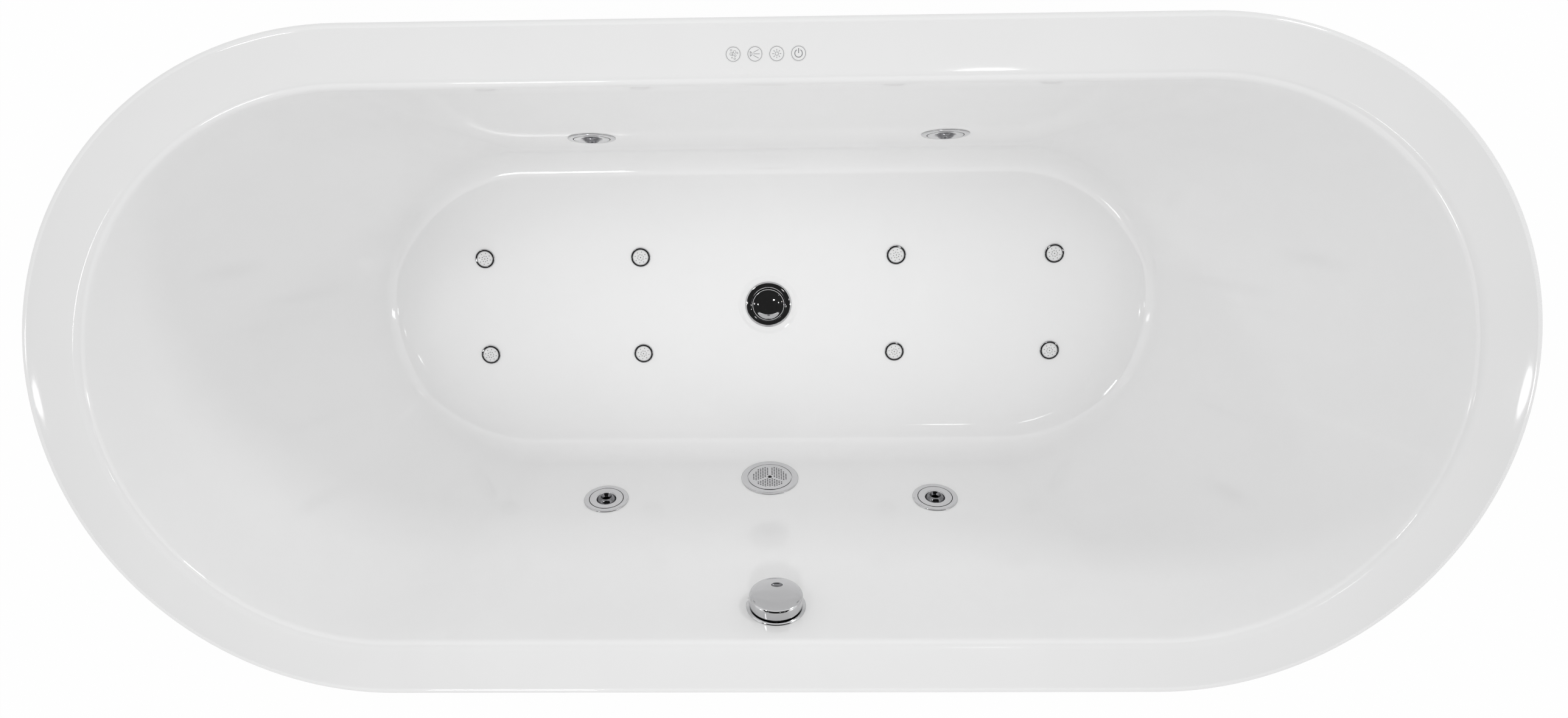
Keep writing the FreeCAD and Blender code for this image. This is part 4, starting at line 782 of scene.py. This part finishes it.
class BATHTUB_OT_jets(bpy.types.Operator):
    """Make the four wall jets: flange, turning face ring and eyeball"""
    bl_idname = "bathtub.jets"
    bl_label = "Wall jets"

    def execute(self, context):
        # the second finish is painted shade: the band in the groove round the face ring is painted near black
        chrome = [material("chrome"), material("painted_shade_recess")]
        flanges = []
        flange = [(22.8, -25, 0.3), (26.0, -25, 0.3), (26.0, SEAT, 0), (32.8, SEAT, 0.1), (33.0, 0.6, 0.25),
                  (32.4, 1.4, 0.5), (30.8, 1.8, 0.8), (25.6, 1.8, 0.3), (25.6, 0.0, 0.15), (22.8, 0.0, 0.1)]
        ring = [(22.7, -21, 0.3), (22.7, 0.1, 0), (24.6, 0.1, 0.1), (24.6, 2.0, 0.35), (15.6, 2.0, 0.9),
                (14.1, 0.7, 0.6), (13.8, -0.6, 0.2), (14.5, -3.0, 0.8), (14.8, -6.1, 1), (14.3, -10, 1),
                (13.3, -12.6, 0.2), (13.3, -21, 0.3)]
        for number, (point, normal) in enumerate(jet_places(), start=1):
            flanges.append(lathe("jet_flange_%d" % number, flange, point, normal, chrome, 112,
                                 band=(24.0, 25.7, 1.3)))
            own(lathe("jet_face_%d" % number, ring, point, normal, chrome, 112), "jet_%d_ring" % number,
                "jet_ring_%d" % number, slot="chrome")
            own(self.eyeball(number, point, normal), "jet_%d_eyeball" % number, "jet_nozzle_%d" % number,
                slot="satin_chrome")
        own(join_pieces("jet_flanges", flanges), "tub", "jet_wall_fittings", slot="chrome")
        return {"FINISHED"}

    def eyeball(self, number, point, normal):
        """Ball with both sides cut flat, a dished face and a bore through it."""
        ball = 14.5
        front = 11.4
        setback = 6.1
        profile = []
        start = math.asin(front / ball)
        for step in range(21):
            angle = -start + 2 * start * step / 20
            profile.append((ball * math.cos(angle), ball * math.sin(angle), 0))
        dish = [(8.3, front, 0.3), (7.0, front - 2.2, 1.2), (5.2, front - 4.5, 0.6), (5.2, -front, 0.3)]
        points = [(radius, height - setback, *rest) for radius, height, *rest in profile + dish]
        return lathe("jet_eyeball_%d" % number, points, point, normal, [material("darker_plating_and_painted_shade")], 96)


class BATHTUB_OT_suction(bpy.types.Operator):
    """Make the suction flange, its perforated cover and the screw"""
    bl_idname = "bathtub.suction"
    bl_label = "Suction"

    def execute(self, context):
        point, normal = wall_place(0, SUCTION_DEPTH, -1)
        # the second finish is painted shade: the band in the groove round the cover is painted near black
        chrome = [material("chrome"), material("painted_shade_recess")]
        flange = [(26.5, -26, 0.3), (29.5, -26, 0.3), (29.5, SEAT, 0), (42.7, SEAT, 0.1), (43.0, 0.8, 0.3),
                  (42.0, 1.7, 0.7), (39.8, 2.2, 1.0), (33.5, 2.2, 0.3), (33.5, 1.0, 0.15),
                  (26.5, 1.0, 0.1)]
        piece = lathe("suction_flange", flange, point, normal, chrome, 128, band=(32.4, 33.6, 1.7))
        own(piece, "tub", "suction_fitting", slot="chrome")
        own(self.cover(point, normal), "tub", "suction_cover", slot="satin_chrome")
        screw = [(0, -14), (1.6, -14, 0), (1.6, 1.2, 0), (3.0, 2.3, 0.1), (3.0, 2.5, 0.1), (1.9, 2.5, 0.1),
                 (1.7, 1.2, 0.1), (0, 1.1)]
        # the sunk screw is painted near black, painted shade in its recess
        piece = lathe("suction_centre_screw", screw, point, normal, [material("painted_shade_recess")], 40, closed=False)
        own(piece, "tub", "suction_screw", slot="chrome")
        return {"FINISHED"}

    def cover(self, point, normal):
        """Round plate with three sectors of small holes between plain spokes."""
        profile = [(2.2, 1.2, 0), (32.5, 1.2, 0.1), (32.5, 2.6, 0.5), (3.4, 2.6, 0.2), (2.2, 1.6, 0.1)]
        plate = lathe("suction_grille", profile, point, normal, [material("chrome")], 128)
        # the walls of the cover's holes take the near-black painted shade
        pierce(plate, drills("cover_holes", "painted_shade_recess", point, normal, cover_holes(), 2, 4, 12), 25)
        return plate


def cover_holes():
    """Staggered holes, x, y and radius, that leave three spokes and the middle plain."""
    pitch = 4.0
    row_pitch = pitch * 0.866
    field = (6.5, 26.0)
    hole = 1.15
    spokes = [math.radians(degrees) for degrees in (60, 180, 300)]
    places = []
    for row in range(-8, 9):
        for column in range(-9, 10):
            x = row * row_pitch
            y = (column + 0.5 * (row % 2)) * pitch
            in_field = field[0] <= math.hypot(x, y) <= field[1]
            clear = all(abs(x * math.cos(spoke) + y * math.sin(spoke)) > 0.5 * pitch
                        for spoke in spokes if y * math.cos(spoke) - x * math.sin(spoke) > 0)
            if in_field and clear:
                places.append((x, y, hole))
    return places


class BATHTUB_OT_injectors(bpy.types.Operator):
    """Make the eight floor injectors: chrome ring and frosted, drilled face"""
    bl_idname = "bathtub.injectors"
    bl_label = "Floor injectors"

    def execute(self, context):
        rings = []
        faces = []
        ring = [(10.2, -26, 0.2), (12.2, -26, 0.2), (12.2, SEAT, 0), (15.0, SEAT, 0.1), (15.2, 0.9, 0.3),
                (14.9, 1.7, 0.4), (14.2, 2.4, 0.4), (11.9, 2.6, 0.3), (11.35, 2.1, 0.3), (11.3, 0.5, 0),
                (10.2, 0.5, 0)]
        for number, place in enumerate(injector_places(), start=1):
            rings.append(lathe("ring_%d" % number, ring, place, Z_AXIS, [material("chrome")], 72))
            faces.append(self.face(number, place))
        own(join_pieces("injector_ring_set", rings), "tub", "injector_rings", slot="chrome")
        own(join_pieces("injector_face_set", faces), "tub", "injector_faces", slot="clear_face")
        return {"FINISHED"}

    def face(self, number, place):
        """Domed disc with one middle hole and two circles of eight."""
        bm = bmesh.new()
        profile = [(0, 0.7), (11.2, 0.7), (11.2, 1.6), (10.9, 1.95), (8, 2.25), (4, 2.5), (0, 2.58)]
        spin_profile(bm, profile, 72)
        # the face takes the finish with the painted glow
        disc = finish_mesh(bm, "face_%d" % number, [material("lamp")], placing(place, Z_AXIS))
        spots = [(0, 0, 0.75)]
        for step in range(8):
            for distance, offset in ((4.3, 12), (8.3, 34)):
                angle = math.radians(45 * step + offset)
                spots.append((distance * math.cos(angle), distance * math.sin(angle), 0.62))
        # the walls of the face's holes take the near-black painted shade
        pierce(disc, drills("spots", "painted_shade_recess", place, Z_AXIS, spots, 2.4, 2.4, 14), 30)
        return disc


class BATHTUB_OT_waste(bpy.types.Operator):
    """Make the chrome waste flange and the domed plug"""
    bl_idname = "bathtub.waste"
    bl_label = "Waste"

    def execute(self, context):
        base = Vector((0, 0, FLOOR - RECESS_DEPTH))
        flange = [(20.5, -50, 0.3), (23.0, -50, 0.3), (23.0, SEAT, 0), (35.2, SEAT, 0.1), (35.5, 0.9, 0.4),
                  (34.2, 2.6, 1.2), (31.4, 3.6, 1.4), (27.6, 3.5, 0.8), (25.7, 2.9, 0.4), (25.6, 1.4, 0.3),
                  (20.5, 0.4, 0.3)]
        ring = lathe("waste_ring", flange, base, Z_AXIS, [material("chrome")], 128)
        own(ring, "tub", "waste_flange", slot="chrome")
        plug = [(0, 0), (22.4, 0, 0.3), (24.4, 1.0, 0.5), (24.4, 2.3, 0.6), (23.2, 3.1, 0.5),
                (22.0, 2.9, 0.25), (20.8, 3.2, 0.5), (15.1, 5.0, 4), (7.3, 6.1, 4), (0, 6.4)]
        cap = lathe("plug_cap", plug, base + Z_AXIS * 2.8, Z_AXIS, [material("chrome")], 128, closed=False)
        own(cap, "plug", "waste_plug", slot="chrome")
        return {"FINISHED"}


class BATHTUB_OT_knob(bpy.types.Operator):
    """Make the overflow's base ring and turning knob"""
    bl_idname = "bathtub.knob"
    bl_label = "Overflow knob"

    def execute(self, context):
        point, normal = wall_place(KNOB_X, KNOB_DEPTH, -1)
        base = [(23.5, -20, 0.3), (26.5, -20, 0.3), (26.5, SEAT, 0), (38.7, SEAT, 0.1), (39.0, 0.8, 0.4),
                (38.0, 2.0, 0.8), (36.4, 2.5, 0.6), (33.0, 2.5, 0.4), (28.0, 1.9, 0.4), (23.5, 1.2, 0.3)]
        ring = lathe("overflow_ring", base, point, normal, [material("chrome")], 128)
        own(ring, "tub", "overflow_base_ring", slot="chrome")
        knob = [(0, 10.5), (31.0, 10.5, 0.5), (31.0, 4.6, 0.3), (34.4, 4.5, 0.4), (35.0, 5.4, 0.5),
                (35.0, 17.6, 1.0), (33.8, 19.6, 1.4), (31.0, 20.4, 1.5), (21, 20.9, 3), (0, 21.2)]
        cap = lathe("overflow_turning_knob", knob, point, normal, [material("chrome")], 144, closed=False,
                    steps=5)
        self.dimple(cap, point, normal)
        own(cap, "rotating_knob", "overflow_knob", slot="chrome")
        return {"FINISHED"}

    def dimple(self, cap, point, normal):
        """Press a round-bottomed thumb mark into the face, below the middle; its walls take the darker
        chrome, painted shade inside the mark.
        """
        bm = bmesh.new()
        bmesh.ops.create_uvsphere(bm, u_segments=48, v_segments=24, radius=1.0)
        stretch(bm, (-1.5, -17.0, 21.0), (7.6, 4.6, 2.6))
        tool = finish_mesh(bm, "dimple", [material("darker_plating_and_painted_shade")], placing(point, normal))
        pierce(cap, tool, 35)


class BATHTUB_OT_touch_keys(bpy.types.Operator):
    """Make the four flush touch keys with their printed signs"""
    bl_idname = "bathtub.touch_keys"
    bl_label = "Touch keys"

    def execute(self, context):
        caps = []
        signs = []
        line = context.scene.bathtub_looks.sign_line / MM
        cap = [(0, -7), (TOUCH_CAP, -7, 0.2), (TOUCH_CAP, 0, 0.05), (0, 0)]
        drawings = (self.bubbles, self.nozzle, self.sun, self.power)
        for number, (place, draw) in enumerate(zip(touch_places(), drawings)):
            caps.append(lathe("cap_%d" % number, cap, place, Z_AXIS, [material("acrylic")], 64, closed=False))
            bm = bmesh.new()
            circle(bm, 0, 0, 7.8, line)
            draw(bm, line)
            signs.append(finish_mesh(bm, "sign_%d" % number, [material("ink")],
                                     placing(place - Z_AXIS * PRINT_SINK, Z_AXIS), smooth=False))
        own(join_pieces("touch_caps", caps), "tub", "touch_pads", slot="touch_cap")
        own(join_pieces("touch_signs", signs), "tub", slot="touch_cap")
        return {"FINISHED"}

    def bubbles(self, bm, line):
        for x, y, radius in ((1.6, 2.4, 1.5), (-2.4, 0.2, 1.4), (2.2, -1.6, 1.0), (-0.6, -1.0, 0.7),
                             (-2.4, 4.2, 0.9), (4.6, 1.2, 0.7), (-1.4, -3.8, 0.6), (1.6, -4.9, 0.9),
                             (-0.4, 1.6, 0.5)):
            circle(bm, x, y, radius, 0.75 * line)

    def nozzle(self, bm, line):
        mouth = ((-5.4, 2.6), (-3.4, 1.3), (-3.4, -1.3), (-5.4, -2.6), (-5.4, 2.6))
        spray = (((-1.8, 0), (5.2, 0)), ((-1.8, 1.6), (4.0, 4.6)), ((-1.8, -1.6), (4.0, -4.6)))
        for start, end in (*zip(mouth, mouth[1:]), *spray):
            stroke(bm, start, end, line)

    def sun(self, bm, line):
        circle(bm, 0, 0, 1.9, line)
        for step in range(8):
            angle = math.radians(45 * step)
            ray = Vector((math.cos(angle), math.sin(angle)))
            stroke(bm, ray * 3.2, ray * 4.9, 1.2 * line)

    def power(self, bm, line):
        arc(bm, 0, 0, 4.2, 1.8 * line, 118, 422)
        stroke(bm, (0, 0.2), (0, 5.6), 1.8 * line)


# ---------------- printed lines
PRINT_LOW = 0.045       # heights in millimetres of the film that stands for a printed line
PRINT_FILM = 0.05
PRINT_SINK = 0.055      # how far a sign is sunk, so that its film stands 0.04 mm proud


def arc(bm, x, y, radius, width, start, end, steps=48):
    """Thin raised band along part of a circle, from one angle in degrees to another."""
    angle = math.radians(start)
    verts = []
    for side, height in ((-0.5, 0), (0.5, 0), (0.5, 1), (-0.5, 1)):
        distance = radius + side * width
        verts.append(bm.verts.new((x + distance * math.cos(angle), y + distance * math.sin(angle),
                                   PRINT_LOW + height * PRINT_FILM)))
    face = bm.faces.new(verts)
    geometry = verts + list(face.edges)
    whole = end - start >= 360
    if whole:
        bm.faces.remove(face)
    else:
        geometry.append(face)
    bmesh.ops.spin(bm, geom=geometry, cent=(x, y, 0), axis=Z_AXIS, angle=math.radians(end - start),
                   steps=steps, use_merge=whole, use_duplicate=False)
    bmesh.ops.remove_doubles(bm, verts=bm.verts, dist=1e-4)


def circle(bm, x, y, radius, width):
    arc(bm, x, y, radius, width, 0, 360, 40 if radius > 3 else 20)


def stroke(bm, start, end, width):
    """Thin raised bar between two points."""
    first = Vector(start)
    last = Vector(end)
    along = last - first
    middle = ((first + last) / 2).to_3d()
    middle.z = PRINT_LOW + PRINT_FILM / 2
    turn = Matrix.Rotation(math.atan2(along.y, along.x), 4, "Z")
    size = Matrix.Diagonal((along.length, width, PRINT_FILM, 1))
    bmesh.ops.create_cube(bm, size=1.0, matrix=Matrix.Translation(middle) @ turn @ size)


# ---------------- plain nodes and studio
class BATHTUB_OT_plain_nodes(bpy.types.Operator):
    """Give the frame, the pipework and the machines their finishes"""
    bl_idname = "bathtub.plain_nodes"
    bl_label = "Frame and machines"

    finishes = {
        "board": "base_board",
        "wood": "rim_battens",
        "steel": "frame_rails frame_cross_members frame_posts equipment_shelves",
        "zinc": "foot_studs foot_nuts pump_shaft plug_stem",
        "rubber": "foot_pads fitting_gaskets blower_feet plug_seal",
        "motor": "pump_motor pump_fan_cowl",
        "pipe": "water_main jet_air_lines suction_pipe blower_hose floor_air_manifold overflow_pipe",
        "black_plastic": "air_intakes pump_volute pump_fan pump_terminal_box blower_fan injector_lamps "
                         "touch_sensor_box",
        "white_plastic": "jet_bodies suction_body pump_impeller blower_housing injector_bodies waste_body "
                         "trap knob_spindle overflow_body control_box",
    }

    def execute(self, context):
        for finish, nodes in self.finishes.items():
            for node in nodes.split():
                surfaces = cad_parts[node].data.materials
                surfaces.clear()
                surfaces.append(material(finish))
        return {"FINISHED"}


def hang(name, data, where):
    """Put a lamp or camera into the scene at a place in metres."""
    made = bpy.data.objects.new(name, data)
    made.location = where
    bpy.context.scene.collection.objects.link(made)
    return made


class BATHTUB_OT_studio(bpy.types.Operator):
    """Make the plain floor, the surroundings, the lamps and the camera"""
    bl_idname = "bathtub.studio"
    bl_label = "Studio"

    # name, place in metres, width, height, radiance
    lamps = (
        ("back right lamp", (3.75, 4.6, 2.05), 0.8, 0.8, 20),
        ("back left lamp", (-1.9, 1.5, 3.0), 0.5, 0.25, 14),
        ("front left lamp", (-0.9, -2.6, 2.5), 0.6, 0.2, 14),
        ("left lamp", (-3.0, -0.4, 2.2), 0.2, 0.6, 5),
        ("right lamp", (3.0, -0.7, 2.2), 0.2, 0.6, 9),
    )
    lamp_aim = Vector((0, 0, 0.4))

    # name, cone in degrees, power in watts, and how much wider the cone is along the tub
    spots = (("overhead lamp", 40, 100, 1.0), ("basin lamp", 9, 100, 2.3))
    spot_place = (0, 0, 4.2)
    spot_softness = 0.2

    # x, y and half-size in metres of the small bright cards under the dark ceiling
    cards = ((0.77, 0.04, 0.11), (-1.8, -0.6, 0.14), (2.95, -0.9, 0.18), (-2.95, -0.9, 0.14),
             (1.85, -0.3, 0.10))
    card_height = 3.5
    card_flatness = 0.6
    card_glow = 7.0
    ceiling_place = (0, 0.1, 3.6)
    ceiling_size = (3.4, 2.6, 1)

    # light of the surroundings on the tub; the camera and mirrors see it as 1
    surroundings = 0.65

    # how white the floor shows whatever falls on it: to the camera near the tub, rising to 1 from one fade
    # distance in metres to two, and in mirrors
    floor_white = 0.978
    floor_fade = 1.5
    mirrored_white = 0.7

    # perspective fitted to the tub's outline and fittings in the photograph
    camera_place = (-0.0125, 0.3849, 1.9962)
    camera_turn = (-14.129, 1.2207, -0.7745)    # degrees
    camera_lens = 28.03
    camera_shift = (0.0336, -0.0044)

    def execute(self, context):
        looks = context.scene.bathtub_looks
        self.ground(looks)
        self.world()
        self.ceiling()
        self.sparkles()
        for name, where, width, height, radiance in self.lamps:
            self.lamp(name, where, width, height, radiance * looks.lamp_level)
        for name, cone, power, stretched in self.spots:
            self.spot(name, cone, power * looks.lamp_level, stretched)
        self.camera()
        return {"FINISHED"}

    def ground(self, looks):
        """Floor that shows white with the tub's shadow, and from below is clear."""
        finish = Finish("white floor", Roughness=0.9)
        finish.put({"Base Color": finish.mix(finish.noise(3, 2), shade(0.86), shade(0.88))})
        where = finish.wire("ShaderNodeTexCoord", output="Object")
        apart = finish.wire("ShaderNodeVectorMath", {"operation": "LENGTH"}, {0: where}, "Value")
        away = ((apart - self.floor_fade) / self.floor_fade).clamped()
        seen = (self.floor_white + (1 - self.floor_white) * away) * finish.rays("Camera")
        white = seen + self.mirrored_white * finish.rays("Glossy", "Transmission")
        glow = finish.node("ShaderNodeEmission", {}, {"Color": (1, 1, 1), "Strength": 1.0})
        above = finish.blend(white.clamped(), finish.shader, glow)
        from_below = finish.wire("ShaderNodeNewGeometry", output="Backfacing")
        shown = finish.blend(from_below, above, finish.node("ShaderNodeBsdfTransparent"))
        finish.tree.links.new(shown.outputs[0], finish.tree.nodes["Material Output"].inputs["Surface"])
        bm = bmesh.new()
        bmesh.ops.create_grid(bm, x_segments=1, y_segments=1, size=looks.ground_size)
        finish_mesh(bm, "studio_floor", [finish.material], smooth=False, recalc=False)

    def world(self):
        """Even pale surroundings; the camera and mirrors see them white."""
        world = bpy.data.worlds.new("studio")
        world.use_nodes = True
        bpy.context.scene.world = world
        nodes = Nodes(world.node_tree)
        white = nodes.rays("Camera", "Glossy", "Transmission")
        background = nodes.tree.nodes["Background"].inputs
        nodes.feed(background["Strength"], self.surroundings + (1 - self.surroundings) * white)
        nodes.feed(background["Color"], (1, 1, 1))

    def ceiling(self):
        """Dark card overhead, for the fittings to mirror."""
        bm = bmesh.new()
        bmesh.ops.create_grid(bm, x_segments=1, y_segments=1, size=1.0)
        stretch(bm, self.ceiling_place, self.ceiling_size)
        self.mirror_card("studio_ceiling", bm, Finish("dark ceiling", Base_Color=shade(0.02), Roughness=1.0))

    def sparkles(self):
        """Small bright cards that make the sparkles on the fittings."""
        finish = Finish("bright card", Base_Color=shade(0.8), Emission_Color=(1, 1, 1),
                        Emission_Strength=self.card_glow)
        for number, (x, y, size) in enumerate(self.cards):
            bm = bmesh.new()
            bmesh.ops.create_circle(bm, cap_ends=True, segments=24, radius=1.0)
            stretch(bm, (x, y, self.card_height), (size, self.card_flatness * size, 1))
            self.mirror_card("lamp_card_%d" % number, bm, finish)

    def mirror_card(self, name, bm, finish):
        """Put up a card that only mirrors see."""
        card = finish_mesh(bm, name, [finish.material], smooth=False, recalc=False)
        for rays in ("camera", "diffuse", "shadow", "transmission"):
            setattr(card, "visible_" + rays, False)

    def lamp(self, name, where, width, height, radiance):
        data = bpy.data.lights.new(name, "AREA")
        data.shape = "RECTANGLE"
        data.size = width
        data.size_y = height
        data.energy = radiance * math.pi * width * height
        light = hang(name, data, where)
        light.rotation_euler = (self.lamp_aim - Vector(where)).to_track_quat("-Z", "Y").to_euler()

    def spot(self, name, cone, power, stretched):
        """Soft overhead lamp that mirrors don't see."""
        data = bpy.data.lights.new(name, "SPOT")
        data.spot_size = math.radians(cone)
        data.spot_blend = 1.0
        data.shadow_soft_size = self.spot_softness
        data.energy = power
        light = hang(name, data, self.spot_place)
        light.scale = (stretched, 1, 1)
        light.visible_glossy = False

    def camera(self):
        data = bpy.data.cameras.new("photo_view")
        data.sensor_width = 36.0
        data.lens = self.camera_lens
        data.shift_x, data.shift_y = self.camera_shift
        camera = hang("photo_view", data, self.camera_place)
        camera.rotation_euler = [math.radians(angle) for angle in self.camera_turn]
        bpy.context.scene.camera = camera
        bpy.context.scene.view_settings.view_transform = "Standard"


class BATHTUB_PT_panel(bpy.types.Panel):
    """Lists the bathtub's pieces and settings"""
    bl_idname = "BATHTUB_PT_panel"
    bl_label = "Bathtub"
    bl_space_type = "VIEW_3D"
    bl_region_type = "UI"
    bl_category = "Bathtub"

    def draw(self, context):
        looks = context.scene.bathtub_looks
        for name in BathtubLooks.__annotations__:
            self.layout.prop(looks, name)
        for step in STEPS:
            self.layout.operator(step.bl_idname)


STEPS = (BATHTUB_OT_shell, BATHTUB_OT_jets, BATHTUB_OT_suction, BATHTUB_OT_injectors, BATHTUB_OT_waste,
         BATHTUB_OT_knob, BATHTUB_OT_touch_keys, BATHTUB_OT_plain_nodes, BATHTUB_OT_studio)
CLASSES = (BathtubLooks,) + STEPS + (BATHTUB_PT_panel,)


def register():
    for item in CLASSES:
        bpy.utils.register_class(item)
    bpy.types.Scene.bathtub_looks = bpy.props.PointerProperty(type=BathtubLooks)


def unregister():
    del bpy.types.Scene.bathtub_looks
    for item in reversed(CLASSES):
        bpy.utils.unregister_class(item)


def main():
    register()
    for step in STEPS:
        group, name = step.bl_idname.split(".")
        getattr(getattr(bpy.ops, group), name)()


if __name__ == "__main__":
    main()
